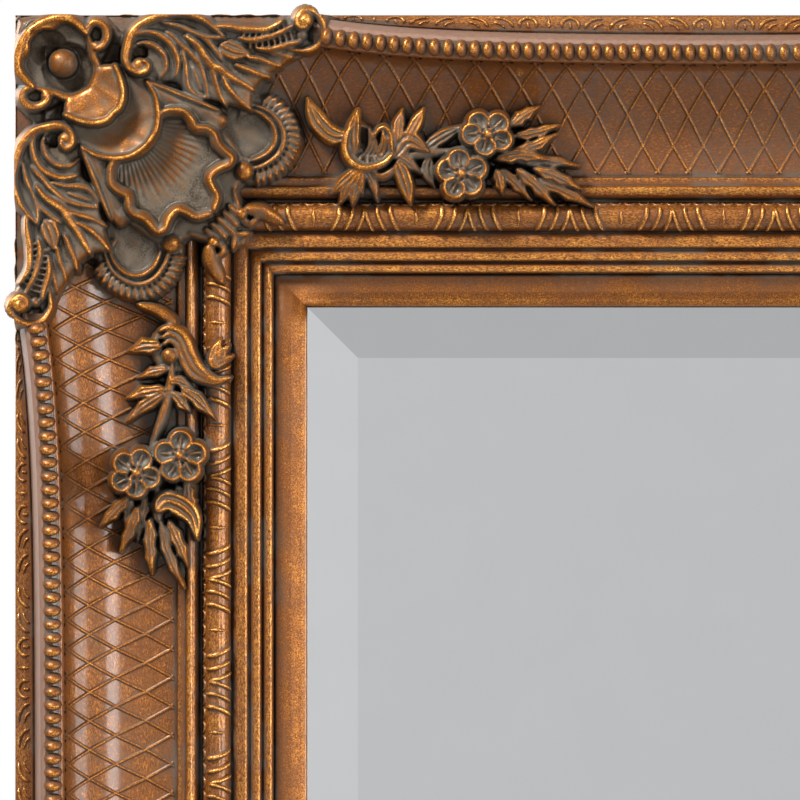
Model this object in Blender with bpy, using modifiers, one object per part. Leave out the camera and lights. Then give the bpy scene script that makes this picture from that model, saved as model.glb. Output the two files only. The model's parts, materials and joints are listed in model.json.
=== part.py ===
"""Cheval floor mirror: a full-length bevelled glass in a carved, swept gilt frame that stands on its lower edge
and on a hinged easel leg with a folding stay at each side.

Units are metres, +Z is up and the glass faces -Y. The frame is modelled upright in its own axes (x across, y back
from the frame's flat back, z up from its lower edge) under an empty that leans it back. The leg is modelled folded
flat, under an empty on the hinge line that swings it open.
"""

import math

import bmesh
import bpy
from mathutils import Matrix, Vector

MM = 0.001
GAP = 0.3 * MM  # clearance between touching pieces

# Driving dimensions
WIDTH = 560 * MM
HEIGHT = 1620 * MM
FACE = 115 * MM  # outer edge to sight edge
LEAN = math.radians(8)
LEG_OUT = math.radians(7)  # the open leg from the vertical; at most LEAN, so that it folds within the height
FOOT_HEIGHT = 8 * MM
HINGE_HEIGHT = 1150 * MM

# Moulding, as distance in from the outer edge and height above the flat back
RAIL_OUT, RAIL_IN = 8 * MM, 20 * MM
RAIL_TOP = 40 * MM
COVE_IN = 63.5 * MM
COVE_TOP, COVE_FLOOR = 31 * MM, 15 * MM
MOULDING_IN = 102.7 * MM
SWEEP = 7.5 * MM  # how far the rail swings out beside a corner
SWEEP_DECAY = 42 * MM
CORNER_END = 119 * MM  # where the corner ornament ends and the rail starts
CORNER_SEAT = 23.5 * MM  # the level that the moulding is blocked up to under a corner ornament
RAIL_START = 0.4 * MM  # half the length over which the rail rises

# Glass and what holds it
LIP = 6 * MM  # the slip's lip over the glass
LIP_BACK = 8.3 * MM
GLASS_FRONT, GLASS_RIM, GLASS_BACK = 8 * MM, 6 * MM, 4 * MM
BEVEL = 26.5 * MM
BOARD_FRONT, BOARD_BACK = 3.7 * MM, 0.0

# Leg and hinges
LEG_X, LEG_WIDTH, LEG_DEPTH = 196 * MM, 28 * MM, 18 * MM
PIN_Y, PIN_RADIUS, KNUCKLE_RADIUS = 4.3 * MM, 2 * MM, 4 * MM
LEAF_THICK, LEAF_LENGTH, HINGE_WIDTH = 1.8 * MM, 42 * MM, 26 * MM
LEG_FRONT = GAP + LEAF_THICK + GAP  # the folded leg's front face, back from the frame
OPEN_ANGLE = LEAN + LEG_OUT

# Folding stays
STAY_HEIGHT = 450 * MM
STAY_Y = 12 * MM
LEG_PIVOT_RISE = 20 * MM  # the leg's pivot above the frame's when folded
LINK_WIDTH, LINK_THICK = 14 * MM, 1.8 * MM
RIVET_RADIUS, RIVET_HOLE, RIVET_HEAD = 2.5 * MM, 2.8 * MM, 4.5 * MM
EAR_X = 211.8 * MM  # inner faces of the ear and of the two link planes
FRONT_LINK_X = 213.9 * MM
REAR_LINK_X = 217.5 * MM

ROUND = 12  # sides of a small round piece


def clear_scene():
    for obj in list(bpy.data.objects):
        bpy.data.objects.remove(obj)


def new_collection(name):
    made = bpy.data.collections.new(name)
    bpy.context.scene.collection.children.link(made)
    return made


def new_material(name, colour, roughness, metallic):
    made = bpy.data.materials.new(name)
    made.use_nodes = True
    shader = made.node_tree.nodes["Principled BSDF"]
    shader.inputs["Base Color"].default_value = (*colour, 1)
    shader.inputs["Roughness"].default_value = roughness
    shader.inputs["Metallic"].default_value = metallic
    return made


clear_scene()
PARTS = new_collection("cheval_mirror")
CUTTERS = new_collection("cutters")
GILT = new_material("antique_gilt", (0.36, 0.17, 0.045), 0.4, 0.7)
MIRROR = new_material("silvered_glass", (0.8, 0.82, 0.82), 0.03, 1.0)
BOARD = new_material("backing_fibreboard", (0.16, 0.1, 0.06), 0.8, 0.0)
TIMBER = new_material("stained_timber", (0.1, 0.055, 0.03), 0.5, 0.0)
STEEL = new_material("plated_steel", (0.55, 0.53, 0.5), 0.35, 1.0)
RUBBER = new_material("black_rubber", (0.02, 0.02, 0.02), 0.8, 0.0)


def new_empty(name, parent=None):
    made = bpy.data.objects.new(name, None)
    PARTS.objects.link(made)
    made.parent = parent
    return made


floor_centre = new_empty("floor_centre")
frame_lean = new_empty("frame_lean", floor_centre)
frame_lean.location = (0, 0, FOOT_HEIGHT)
frame_lean.rotation_euler = (-LEAN, 0, 0)
leg_hinge = new_empty("leg_hinge", frame_lean)
leg_hinge.location = (0, PIN_Y, HINGE_HEIGHT)
leg_hinge.rotation_euler = (OPEN_ANGLE, 0, 0)


def add_object(name, mesh, material, parent, collection=PARTS):
    obj = bpy.data.objects.new(name, mesh)
    collection.objects.link(obj)
    obj.parent = parent
    if material:
        mesh.materials.append(material)
    return obj


def bmesh_object(name, bm, material, parent, smooth=True):
    """An object from bm, with its faces pointing out and its round faces shaded smooth."""
    bmesh.ops.recalc_face_normals(bm, faces=bm.faces)
    if bm.calc_volume(signed=True) < 0:
        bmesh.ops.reverse_faces(bm, faces=bm.faces)
    mesh = bpy.data.meshes.new(name)
    bm.to_mesh(mesh)
    bm.free()
    obj = add_object(name, mesh, material, parent)
    if smooth:
        mesh.shade_smooth()
        mesh.set_sharp_from_angle(angle=math.radians(35))
    return obj


def add_loft(bm, sections):
    """Adds a closed body through equal-length loops of points."""
    rings = [[bm.verts.new(point) for point in section] for section in sections]
    count = len(rings[0])
    for near, far in zip(rings, rings[1:]):
        for i in range(count):
            j = (i + 1) % count
            bm.faces.new((near[i], near[j], far[j], far[i]))
    bm.faces.new(rings[0])
    bm.faces.new(reversed(rings[-1]))


def add_box(bm, low, high):
    """Adds a box between two corners and returns its vertices."""
    low, high = Vector(low), Vector(high)
    made = bmesh.ops.create_cube(bm, size=1)["verts"]
    size = high - low
    for vert in made:
        vert.co = (low + high) / 2 + Vector(vert.co[k] * size[k] for k in range(3))
    return made


def add_cylinder(bm, start, end, radius, end_radius=None, sides=ROUND):
    """Adds a capped cylinder or cone between two points."""
    start, end = Vector(start), Vector(end)
    turn = (end - start).to_track_quat("Z", "Y").to_matrix().to_4x4()
    bmesh.ops.create_cone(
        bm,
        cap_ends=True,
        segments=sides,
        radius1=radius,
        radius2=radius if end_radius is None else end_radius,
        depth=(end - start).length,
        matrix=Matrix.Translation((start + end) / 2) @ turn,
    )


def boolean(obj, other, operation):
    """Joins other to obj, or cuts it away, as a live modifier on obj."""
    for owner in list(other.users_collection):
        owner.objects.unlink(other)
    CUTTERS.objects.link(other)
    other.hide_render = True
    other.display_type = "WIRE"
    modifier = obj.modifiers.new(other.name, "BOOLEAN")
    modifier.operation = operation
    modifier.object = other


# ---- The four sides of the frame ----------------------------------------------------------------------------


def place(side, s, t, d):
    """A point s along a side from its left or upper corner, t in from the outer edge and d above the flat back."""
    if side == "top":
        return Vector((s - WIDTH / 2, -d, HEIGHT - t))
    if side == "bottom":
        return Vector((s - WIDTH / 2, -d, t))
    if side == "left":
        return Vector((t - WIDTH / 2, -d, HEIGHT - s))
    return Vector((WIDTH / 2 - t, -d, HEIGHT - s))


SIDES = {"top": WIDTH, "bottom": WIDTH, "left": HEIGHT, "right": HEIGHT}


def arc(centre, radii, first, last, steps):
    """Points of an ellipse arc in the section, from angle first to angle last in degrees."""
    angles = [math.radians(first + (last - first) * i / steps) for i in range(steps + 1)]
    return [(centre[0] + radii[0] * math.cos(a), centre[1] + radii[1] * math.sin(a)) for a in angles]


def moulding_profile():
    """The section from the outer edge to the slip, where the rail runs straight."""
    cove = arc((COVE_IN, COVE_TOP), (COVE_IN - RAIL_IN, COVE_TOP - COVE_FLOOR), 180, 270, 6)
    outline = [(0, 0), (0, 13 * MM), (1 * MM, 14.5 * MM), (6.5 * MM, 16.5 * MM), (RAIL_OUT, 18 * MM)]
    outline += [(11 * MM, 38 * MM), (12 * MM, RAIL_TOP), (18.8 * MM, RAIL_TOP)]
    outline += cove
    outline += [(64.2 * MM, 17.5 * MM), (67.8 * MM, 17.5 * MM)]
    outline += arc((69.7 * MM, 17.5 * MM), (1.7 * MM, 2.5 * MM), 150, 0, 3)
    outline += [(71.6 * MM, 14 * MM), (74.3 * MM, 14 * MM)]
    outline += arc((80 * MM, 18 * MM), (5.6 * MM, 5.5 * MM), 180, 0, 5)
    for middle, half, base, rise in ((88.9, 2.8, 18, 3.5), (94.7, 2.9, 16, 3.5), (100.1, 2.3, 14, 3)):
        outline += arc((middle * MM, base * MM), (half * MM, rise * MM), 160, 20, 3)
    return outline + [(MOULDING_IN, 13 * MM), (MOULDING_IN, 0)]


def swept(t, d, s):
    """A section point at s from a corner: blocked up under the ornament, and beyond it moved out by the sweep."""
    if s < CORNER_END and d > 10 * MM and t < 81 * MM:
        return t, CORNER_SEAT
    shift = -SWEEP * math.exp(-max(s - CORNER_END, 0) / SWEEP_DECAY)
    if t <= RAIL_OUT:
        t *= 1 + shift / RAIL_OUT
    elif t <= RAIL_IN:
        t += shift
    elif t <= COVE_IN:
        t += shift * (COVE_IN - t) / (COVE_IN - RAIL_IN)
    return t, d


SWEEP_STATIONS = [CORNER_END + step * MM for step in (9, 19, 35, 60, 95, 140)]


def side_sections(side, profile, stations):
    """Loops of a mitred member: the mitre, the stations from each corner, and the other mitre."""
    length, clearance = SIDES[side], 0.2 * MM

    def at(s, from_start):
        along = s if from_start else length - s
        return [place(side, along, *swept(t, d, s)) for t, d in profile]

    def mitre(from_start):
        corner = [(t + clearance, *swept(t, d, 0)) for t, d in profile]
        return [place(side, s if from_start else length - s, t, d) for s, t, d in corner]

    first = [mitre(True)] + [at(s, True) for s in stations]
    return first + [at(s, False) for s in reversed(stations)] + [mitre(False)]


def build_frame_sides():
    stations = [CORNER_END - RAIL_START, CORNER_END + RAIL_START, *SWEEP_STATIONS]
    for side in SIDES:
        bm = bmesh.new()
        add_loft(bm, side_sections(side, moulding_profile(), stations))
        bmesh_object(f"frame_{side}", bm, GILT, frame_lean)


def build_bead_strips():
    """The beaded moulding on the rail's crest, from one corner ornament to the next."""
    seat = RAIL_TOP + GAP
    section = [(12.1 * MM, seat)] + arc((15.4 * MM, seat), (3.3 * MM, 4.2 * MM), 160, 20, 4) + [(18.7 * MM, seat)]
    stations = [CORNER_END + 2.5 * MM, *SWEEP_STATIONS]
    for side, length in SIDES.items():
        loops = [[place(side, s, *swept(t, d, s)) for t, d in section] for s in stations]
        loops += [[place(side, length - s, *swept(t, d, s)) for t, d in section] for s in reversed(stations)]
        bm = bmesh.new()
        add_loft(bm, loops)
        bmesh_object(f"bead_strip_{side}", bm, GILT, frame_lean)


def build_slips():
    """The inner slip, an L in section whose lip holds the glass."""
    start = MOULDING_IN + GAP
    leg_in = FACE - LIP - GAP
    section = [(start, 0), (leg_in, 0), (leg_in, LIP_BACK), (FACE, LIP_BACK), (FACE, 10.5 * MM)]
    section += [(112 * MM, 13 * MM), (107 * MM, 14.4 * MM), (start, 14.8 * MM)]
    for side, length in SIDES.items():
        clear = 0.2 * MM
        bm = bmesh.new()
        near = [place(side, t + clear, t, d) for t, d in section]
        far = [place(side, length - t - clear, t, d) for t, d in section]
        add_loft(bm, [near, far])
        bmesh_object(f"slip_{side}", bm, GILT, frame_lean)


# ---- Applied ornament ---------------------------------------------------------------------------------------


def corner_point(across, down, s, t, d):
    """A point s along the top or bottom side and t along the stile, both from one corner, d above the back."""
    x = s - WIDTH / 2 if across == "left" else WIDTH / 2 - s
    z = HEIGHT - t if down == "top" else t
    return Vector((x, -d, z))


def add_drafted_slab(bm, outline, high, draft):
    """A slab from an outline of 3-D points up to a level, where it draws in towards the outline's middle."""
    middle = sum(outline, Vector()) / len(outline)
    drawn = [p + (middle - p) * draft for p in outline]
    add_loft(bm, [outline, [Vector((p.x, -high, p.z)) for p in drawn]])


# Half of the corner ornament's edge, from the outer corner to the inner one, mirrored about the mitre.
CORNER_HALF = [(2, 2), (22, 0), (40, 0.5), (54, -1.2), (74, -1), (92, 3), (104, 3), (112, 5), (113, 14), (100, 22)]
CORNER_HALF += [(93, 31), (103, 38), (111, 48), (112, 58), (105, 67), (95, 70), (88, 67), (87, 78), (86, 86)]


def build_corner_ornament(down, across):
    """A cast corner: the ground, a shell towards the glass, a flower at the outer corner and two end scrolls."""
    seat = CORNER_SEAT / MM + 0.4

    def point(s, t, d=seat):
        return corner_point(across, down, s * MM, t * MM, d * MM)

    outline = [point(s, t) for s, t in CORNER_HALF] + [point(t, s) for s, t in reversed(CORNER_HALF[1:-1])]
    bm = bmesh.new()
    add_drafted_slab(bm, outline, 34 * MM, 0.06)
    ornament = bmesh_object(f"corner_ornament_{down}_{across}", bm, GILT, frame_lean)

    lobes, steps = 7, 28
    rim = []
    for i in range(steps + 1):
        turn = math.radians(-40 + 170 * i / steps)
        reach = 44 + 3 * math.cos(2 * math.pi * lobes * i / steps)
        rim.append(point(45 + reach * math.cos(turn), 45 + reach * math.sin(turn), 30))
    bm = bmesh.new()
    add_drafted_slab(bm, rim, 46 * MM, 0.12)
    boolean(ornament, bmesh_object(f"shell_{down}_{across}", bm, None, frame_lean), "UNION")

    raised = {"flower": (20, 20, 17, 43), "scroll_rail": (110, 6.5, 6.5, 46), "scroll_stile": (6.5, 110, 6.5, 46)}
    for name, (s, t, radius, high) in raised.items():
        bm = bmesh.new()
        add_cylinder(bm, point(s, t, 28), point(s, t, high), radius * MM, 0.8 * radius * MM)
        boolean(ornament, bmesh_object(f"{name}_{down}_{across}", bm, None, frame_lean), "UNION")


# The spray's edge: along the side from the corner, and in from the outer edge.
SPRAY_EDGE = [(121, 34), (126, 43), (139, 47), (155, 38), (168, 42), (184, 36), (205, 40), (220, 54), (228, 76)]
SPRAY_EDGE += [(213, 74), (196, 70), (179, 78), (162, 70), (150, 75), (137, 77), (128, 70), (134, 58), (122, 49)]


def build_spray(side, down, across):
    """A flower spray cast hollow behind, laid over the cove on the given side next to the given corner."""
    outline = []
    for s, t in SPRAY_EDGE:
        pair = (s, t) if side == down else (t, s)
        level = 20.6 + (t - 33) * 0.08
        outline.append(corner_point(across, down, *(value * MM for value in (*pair, level))))
    bm = bmesh.new()
    add_drafted_slab(bm, outline, 34 * MM, 0.05)
    bmesh_object(f"flower_spray_{down}_{across}_{'rail' if side == down else 'stile'}", bm, GILT, frame_lean)


# ---- Glass, backing and the fixings behind --------------------------------------------------------------------


def build_glass():
    half_w, half_h = WIDTH / 2 - FACE + LIP, HEIGHT / 2 - FACE + LIP
    middle = HEIGHT / 2
    bm = bmesh.new()
    add_box(bm, (-half_w, -GLASS_RIM, middle - half_h), (half_w, -GLASS_BACK, middle + half_h))
    front = min(bm.faces, key=lambda face: face.calc_center_median().y)
    bmesh.ops.inset_region(bm, faces=[front], thickness=BEVEL, depth=0, use_even_offset=True)
    for vert in front.verts:
        vert.co.y = -GLASS_FRONT
    bmesh_object("mirror_glass", bm, MIRROR, frame_lean, smooth=False)

    bm = bmesh.new()
    inset = 0.5 * MM
    low = (-half_w + inset, -BOARD_FRONT, middle - half_h + inset)
    add_box(bm, low, (half_w - inset, -BOARD_BACK, middle + half_h - inset))
    bmesh_object("backing_board", bm, BOARD, frame_lean, smooth=False)


def build_backing_clips():
    """Flat spring clips over the edge of the backing board, each under one screw into the moulding."""
    inner, outer, half, thick = 124 * MM, 100 * MM, 6 * MM, 1.2 * MM
    places = [("top", WIDTH / 2), ("bottom", WIDTH / 2)]
    places += [(side, HEIGHT * along) for side in ("left", "right") for along in (0.14, 0.5, 0.86)]
    for number, (side, s) in enumerate(places, start=1):
        corners = (place(side, s - half, inner, -GAP), place(side, s + half, outer, -GAP - thick))
        low, high = [[pick(p[k] for p in corners) for k in range(3)] for pick in (min, max)]
        bm = bmesh.new()
        add_box(bm, low, high)
        bmesh_object(f"backing_clip_{number}", bm, STEEL, frame_lean, smooth=False)


def build_bottom_foot(name, x):
    """A rubber wedge under the lower rail: level underneath, and sloped on top to the leaning frame."""
    bm = bmesh.new()
    half, front, back = 30 * MM, 13 * MM, 1 * MM
    verts = add_box(bm, (x - half, -front, 0), (x + half, -back, FOOT_HEIGHT))
    for vert in verts:
        if vert.co.z > FOOT_HEIGHT / 2:
            vert.co.z = FOOT_HEIGHT - GAP - vert.co.y * math.tan(LEAN)
    bmesh_object(name, bm, RUBBER, floor_centre, smooth=False)


# ---- Hinges, in the axes of the folded leg's empty ------------------------------------------------------------


def ring_outline(radius, centre, sides=ROUND):
    return [
        (centre[0] + radius * math.cos(2 * math.pi * i / sides), centre[1] + radius * math.sin(2 * math.pi * i / sides))
        for i in range(sides)
    ]


def plate_with_holes(name, outline, holes, low, thick, plane, material, parent):
    """A flat plate from a filled 2-D curve with round holes, made a mesh. plane maps (u, v, w) to x, y, z."""
    curve = bpy.data.curves.new(name, "CURVE")
    curve.dimensions = "2D"
    curve.fill_mode = "BOTH"
    curve.extrude = thick / 2
    for points in (outline, *holes):
        spline = curve.splines.new("POLY")
        spline.points.add(len(points) - 1)
        for made, (u, v) in zip(spline.points, points):
            made.co = (u, v, 0, 1)
        spline.use_cyclic_u = True
    flat = bpy.data.objects.new(name, curve)
    PARTS.objects.link(flat)
    graph = bpy.context.evaluated_depsgraph_get()
    mesh = bpy.data.meshes.new_from_object(flat.evaluated_get(graph))
    bpy.data.objects.remove(flat)
    bm = bmesh.new()
    bm.from_mesh(mesh)
    bmesh.ops.remove_doubles(bm, verts=bm.verts, dist=0.01 * MM)
    for vert in bm.verts:
        u, v, w = vert.co
        vert.co = plane(u, v, w + low + thick / 2)
    return bmesh_object(name, bm, material, parent)


def build_hinge_leaf(name, x, up, knuckles, parent):
    """A leaf flat against the frame or the leg, with the knuckles that it wraps round the pin."""
    pin_y, pin_z = (PIN_Y, HINGE_HEIGHT) if up else (0, 0)
    reach = 1 if up else -1
    low = pin_y - KNUCKLE_RADIUS
    root = KNUCKLE_RADIUS + 0.6 * MM
    bm = bmesh.new()
    ends = sorted((pin_z + reach * root, pin_z + reach * (KNUCKLE_RADIUS + LEAF_LENGTH)))
    add_box(bm, (x - HINGE_WIDTH / 2, low, ends[0]), (x + HINGE_WIDTH / 2, low + LEAF_THICK, ends[1]))
    leaf = bmesh_object(name, bm, STEEL, parent)
    inset = 0.01 * MM
    for i, (start, end) in enumerate(knuckles):
        bm = bmesh.new()
        add_cylinder(bm, (x + start, pin_y, pin_z), (x + end, pin_y, pin_z), KNUCKLE_RADIUS, sides=16)
        boolean(leaf, bmesh_object(f"knuckle_{name}_{i}", bm, None, parent), "UNION")
        bm = bmesh.new()
        web = sorted((pin_z, pin_z + reach * (root + 1 * MM)))
        add_box(bm, (x + start, low + inset, web[0]), (x + end, low + LEAF_THICK - inset, web[1]))
        boolean(leaf, bmesh_object(f"web_{name}_{i}", bm, None, parent, smooth=False), "UNION")
    bm = bmesh.new()
    reach = HINGE_WIDTH
    add_cylinder(bm, (x - reach, pin_y, pin_z), (x + reach, pin_y, pin_z), PIN_RADIUS + GAP, sides=16)
    boolean(leaf, bmesh_object(f"bore_{name}", bm, None, parent), "DIFFERENCE")


def build_hinges():
    gap = 0.15 * MM
    half, inner = HINGE_WIDTH / 2, 5 * MM
    for name, x in (("left", -LEG_X), ("right", LEG_X)):
        outer_pair = [(-half, -inner - gap), (inner + gap, half)]
        build_hinge_leaf(f"hinge_frame_leaf_{name}", x, True, outer_pair, frame_lean)
        build_hinge_leaf(f"hinge_leg_leaf_{name}", x, False, [(-inner + gap, inner - gap)], leg_hinge)
        bm = bmesh.new()
        reach = half + 1.5 * MM
        add_cylinder(bm, (x - reach, PIN_Y, HINGE_HEIGHT), (x + reach, PIN_Y, HINGE_HEIGHT), PIN_RADIUS)
        bmesh_object(f"hinge_pin_{name}", bm, STEEL, frame_lean)


# ---- The easel leg ----------------------------------------------------------------------------------------------

LEG_Y = (LEG_FRONT - PIN_Y, LEG_FRONT - PIN_Y + LEG_DEPTH)  # front and back faces, from the hinge line
PIN_FLOOR = FOOT_HEIGHT + HINGE_HEIGHT * math.cos(LEAN) - PIN_Y * math.sin(LEAN)  # the hinge line above the floor
TIP_LENGTH = 22 * MM


def floor_at(y):
    """How far below the hinge line, along the open leg, the floor lies at a depth y of the leg."""
    return (PIN_FLOOR + y * math.sin(LEG_OUT)) / math.cos(LEG_OUT)


def build_leg():
    foot = floor_at(LEG_Y[0]) - TIP_LENGTH
    for name, x in (("left", -LEG_X), ("right", LEG_X)):
        half = LEG_WIDTH / 2
        bm = bmesh.new()
        add_box(bm, (x - half, LEG_Y[0], -foot), (x + half, LEG_Y[1], -KNUCKLE_RADIUS - 2 * MM))
        upright = bmesh_object(f"leg_upright_{name}", bm, TIMBER, leg_hinge, smooth=False)
        soften = upright.modifiers.new("worn_edges", "BEVEL")
        soften.width = 1.5 * MM
        soften.segments = 2

        bm = bmesh.new()
        verts = add_box(bm, (x - half, LEG_Y[0], -foot - TIP_LENGTH), (x + half, LEG_Y[1], -foot - GAP))
        for vert in verts:
            if vert.co.z < -foot - TIP_LENGTH / 2:
                vert.co.z = -floor_at(vert.co.y)
        bmesh_object(f"leg_tip_{name}", bm, RUBBER, leg_hinge, smooth=False)

    inside = LEG_X - LEG_WIDTH / 2 - GAP
    depth, height = 14 * MM, 36 * MM
    for name, drop in (("upper", 70 * MM), ("lower", foot - 230 * MM)):
        bm = bmesh.new()
        add_box(bm, (-inside, LEG_Y[1] - depth, -drop - height), (inside, LEG_Y[1], -drop))
        bar = bmesh_object(f"leg_crossbar_{name}", bm, TIMBER, leg_hinge, smooth=False)
        soften = bar.modifiers.new("worn_edges", "BEVEL")
        soften.width = 1 * MM


# ---- The folding stays ------------------------------------------------------------------------------------------

FRAME_PIVOT = Vector((0, STAY_Y, STAY_HEIGHT))
LEG_PIVOT_FOLDED = Vector((0, LEG_FRONT + LEG_DEPTH / 2, STAY_HEIGHT + LEG_PIVOT_RISE))


def leg_to_frame(point):
    """A point of the folded leg, in the frame's axes, where the open leg carries it."""
    pin = Vector((0, PIN_Y, HINGE_HEIGHT))
    return pin + Matrix.Rotation(OPEN_ANGLE, 3, "X") @ (point - pin)


LEG_PIVOT = leg_to_frame(LEG_PIVOT_FOLDED)
SPAN = LEG_PIVOT - FRAME_PIVOT  # the straight stay of the open leg
FRONT_LINK = (SPAN.length - LEG_PIVOT_RISE) / 2
REAR_LINK = SPAN.length - FRONT_LINK
MIDDLE_PIVOT = FRAME_PIVOT + SPAN.normalized() * FRONT_LINK
STAY_ANGLE = math.atan2(SPAN.z, SPAN.y)


def link_outline(length, steps=6):
    """A bar with round ends, from one pivot at 0 to the other at length."""
    radius = LINK_WIDTH / 2
    near = arc((0, 0), (radius, radius), 90, 270, steps)
    return near + arc((length, 0), (radius, radius), -90, 90, steps)


def build_link(name, way, pivot, length, low, holes):
    """One bar of a stay, open and straight, running back from its first pivot."""
    cos_a, sin_a = math.cos(STAY_ANGLE), math.sin(STAY_ANGLE)

    def plane(u, v, w):
        return (way * w, pivot.y + u * cos_a - v * sin_a, pivot.z + u * sin_a + v * cos_a)

    rings = [ring_outline(RIVET_HOLE, (spot, 0)) for spot in holes]
    return plate_with_holes(name, link_outline(length), rings, low, LINK_THICK, plane, STEEL, frame_lean)


def build_rivet(name, way, at, stations, parent):
    """A rivet along x as one body, from its end positions and radii."""
    bm = bmesh.new()
    add_loft(bm, [[Vector((way * x, v, w)) for v, w in ring_outline(radius, at)] for x, radius in stations])
    bmesh_object(name, bm, STEEL, parent)


def build_stays():
    clear, head = 0.2 * MM, 1.3 * MM
    front_outer = FRONT_LINK_X + LINK_THICK + clear
    rear_outer = REAR_LINK_X + LINK_THICK + clear
    for name, way in (("left", -1), ("right", 1)):
        # The bracket on the frame: an ear beside the leg and a foot screwed to the stile.
        ear = [(2 * GAP, -12 * MM), (12 * MM, -12 * MM), *arc((STAY_Y, 0), (7.5 * MM, 12 * MM), -60, 60, 4)]
        ear += [(12 * MM, 12 * MM), (2 * GAP, 12 * MM)]
        bracket = plate_with_holes(
            f"stay_bracket_{name}",
            ear,
            [ring_outline(RIVET_HOLE, (STAY_Y, 0))],
            EAR_X,
            LINK_THICK,
            lambda u, v, w, way=way: (way * w, u, STAY_HEIGHT + v),
            STEEL,
            frame_lean,
        )
        inner, outer = sorted((way * EAR_X * 1.0001, way * (EAR_X + 24 * MM)))
        bm = bmesh.new()
        add_box(bm, (inner, GAP, STAY_HEIGHT - 20 * MM), (outer, GAP + 2 * MM, STAY_HEIGHT + 20 * MM))
        boolean(bracket, bmesh_object(f"bracket_foot_{name}", bm, None, frame_lean, smooth=False), "UNION")

        build_link(f"stay_front_link_{name}", way, FRAME_PIVOT, FRONT_LINK, FRONT_LINK_X, [0])
        build_link(f"stay_rear_link_{name}", way, MIDDLE_PIVOT, REAR_LINK, REAR_LINK_X, [0, REAR_LINK])

        stack = [(EAR_X - head, 0.7 * RIVET_HEAD), (EAR_X - clear, RIVET_HEAD), (EAR_X - clear, RIVET_RADIUS)]
        stack += [(front_outer, RIVET_RADIUS), (front_outer, RIVET_HEAD), (front_outer + head, 0.7 * RIVET_HEAD)]
        at = (FRAME_PIVOT.y, FRAME_PIVOT.z)
        build_rivet(f"stay_bracket_rivet_{name}", way, at, stack, frame_lean)

        far_head = [(rear_outer, RIVET_RADIUS), (rear_outer, RIVET_HEAD), (rear_outer + head, 0.7 * RIVET_HEAD)]
        stack = [(LEG_X + LEG_WIDTH / 2 + GAP, RIVET_HEAD), (REAR_LINK_X - clear, RIVET_HEAD)]
        stack += [(REAR_LINK_X - clear, RIVET_RADIUS), *far_head]
        at = (LEG_PIVOT_FOLDED.y - PIN_Y, LEG_PIVOT_FOLDED.z - HINGE_HEIGHT)
        build_rivet(f"stay_leg_rivet_{name}", way, at, stack, leg_hinge)

        stack = [(front_outer, RIVET_HEAD), (REAR_LINK_X - clear, RIVET_HEAD)]
        stack += [(REAR_LINK_X - clear, RIVET_RADIUS), *far_head]
        at = (MIDDLE_PIVOT.y, MIDDLE_PIVOT.z)
        build_rivet(f"stay_middle_rivet_{name}", way, at, stack, frame_lean)


def centre_over_origin():
    """Slides the whole mirror along Y so that its bounding box is centred over the origin."""
    bpy.context.view_layer.update()
    graph = bpy.context.evaluated_depsgraph_get()
    depths = []
    for obj in PARTS.objects:
        if obj.type == "MESH":
            solid = obj.evaluated_get(graph)
            depths += [(solid.matrix_world @ Vector(corner.co)).y for corner in solid.data.vertices]
    floor_centre.location.y = -(min(depths) + max(depths)) / 2


build_frame_sides()
build_bead_strips()
build_slips()
for down in ("top", "bottom"):
    for across in ("left", "right"):
        build_corner_ornament(down, across)
        build_spray(down, down, across)
        build_spray(across, down, across)
build_glass()
build_backing_clips()
build_bottom_foot("bottom_foot_left", -180 * MM)
build_bottom_foot("bottom_foot_right", 180 * MM)
build_hinges()
build_leg()
build_stays()
centre_over_origin()
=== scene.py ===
"""The looks of the cheval floor mirror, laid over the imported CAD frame.

It has carved and gilded mouldings, cast corners and flower sprays, silvered glass with a ground bevel,
and the timber and steel of the easel back. Ornament is worked out in millimetres in the frame's own
axes: s runs along a side from its corner, t runs in from the outer edge, and d is the height above the
flat back.
"""

import json
import math

import bpy
import numpy as np
from mathutils import Matrix, Vector


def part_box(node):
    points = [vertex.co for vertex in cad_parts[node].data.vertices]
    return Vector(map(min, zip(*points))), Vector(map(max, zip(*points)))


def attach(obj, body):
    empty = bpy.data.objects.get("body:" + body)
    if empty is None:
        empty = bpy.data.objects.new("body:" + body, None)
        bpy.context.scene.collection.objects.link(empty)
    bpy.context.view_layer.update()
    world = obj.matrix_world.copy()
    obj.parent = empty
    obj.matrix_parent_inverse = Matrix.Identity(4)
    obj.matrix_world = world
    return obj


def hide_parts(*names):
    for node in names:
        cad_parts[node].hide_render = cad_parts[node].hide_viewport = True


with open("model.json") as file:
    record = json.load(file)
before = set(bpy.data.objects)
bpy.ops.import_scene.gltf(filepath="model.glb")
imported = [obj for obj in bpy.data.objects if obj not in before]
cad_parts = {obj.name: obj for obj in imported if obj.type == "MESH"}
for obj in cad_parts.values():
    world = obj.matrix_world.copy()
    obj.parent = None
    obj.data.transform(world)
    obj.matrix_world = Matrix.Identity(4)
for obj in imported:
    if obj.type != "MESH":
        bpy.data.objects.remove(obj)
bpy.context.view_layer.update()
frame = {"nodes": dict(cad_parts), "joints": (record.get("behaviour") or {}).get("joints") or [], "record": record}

# ---- Sizes, in millimetres in the frame's axes ---------------------------------------------------

CORNER_END = 118.0  # where the rail comes out of the end scroll
RAIL_OUT, RAIL_IN = 8.0, 20.0
COVE_IN, COVE_TOP, COVE_FLOOR = 63.5, 31.0, 15.0
COVE = (COVE_IN, COVE_TOP), (COVE_IN - RAIL_IN, COVE_TOP - COVE_FLOOR)  # centre and radii
TORUS = (79.9, 17.2), (5.5, 6.6)
SWEEP, SWEEP_DECAY = 7.5, 42.0
MOULDING_IN = 102.6  # where the moulding meets the slip
BEAD_PITCH = 5.3
LATTICE_ROWS = (4.0, 14.2, 25.0, 37.2, 47.4)  # crossings, as distances across the cove from the rail
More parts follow.
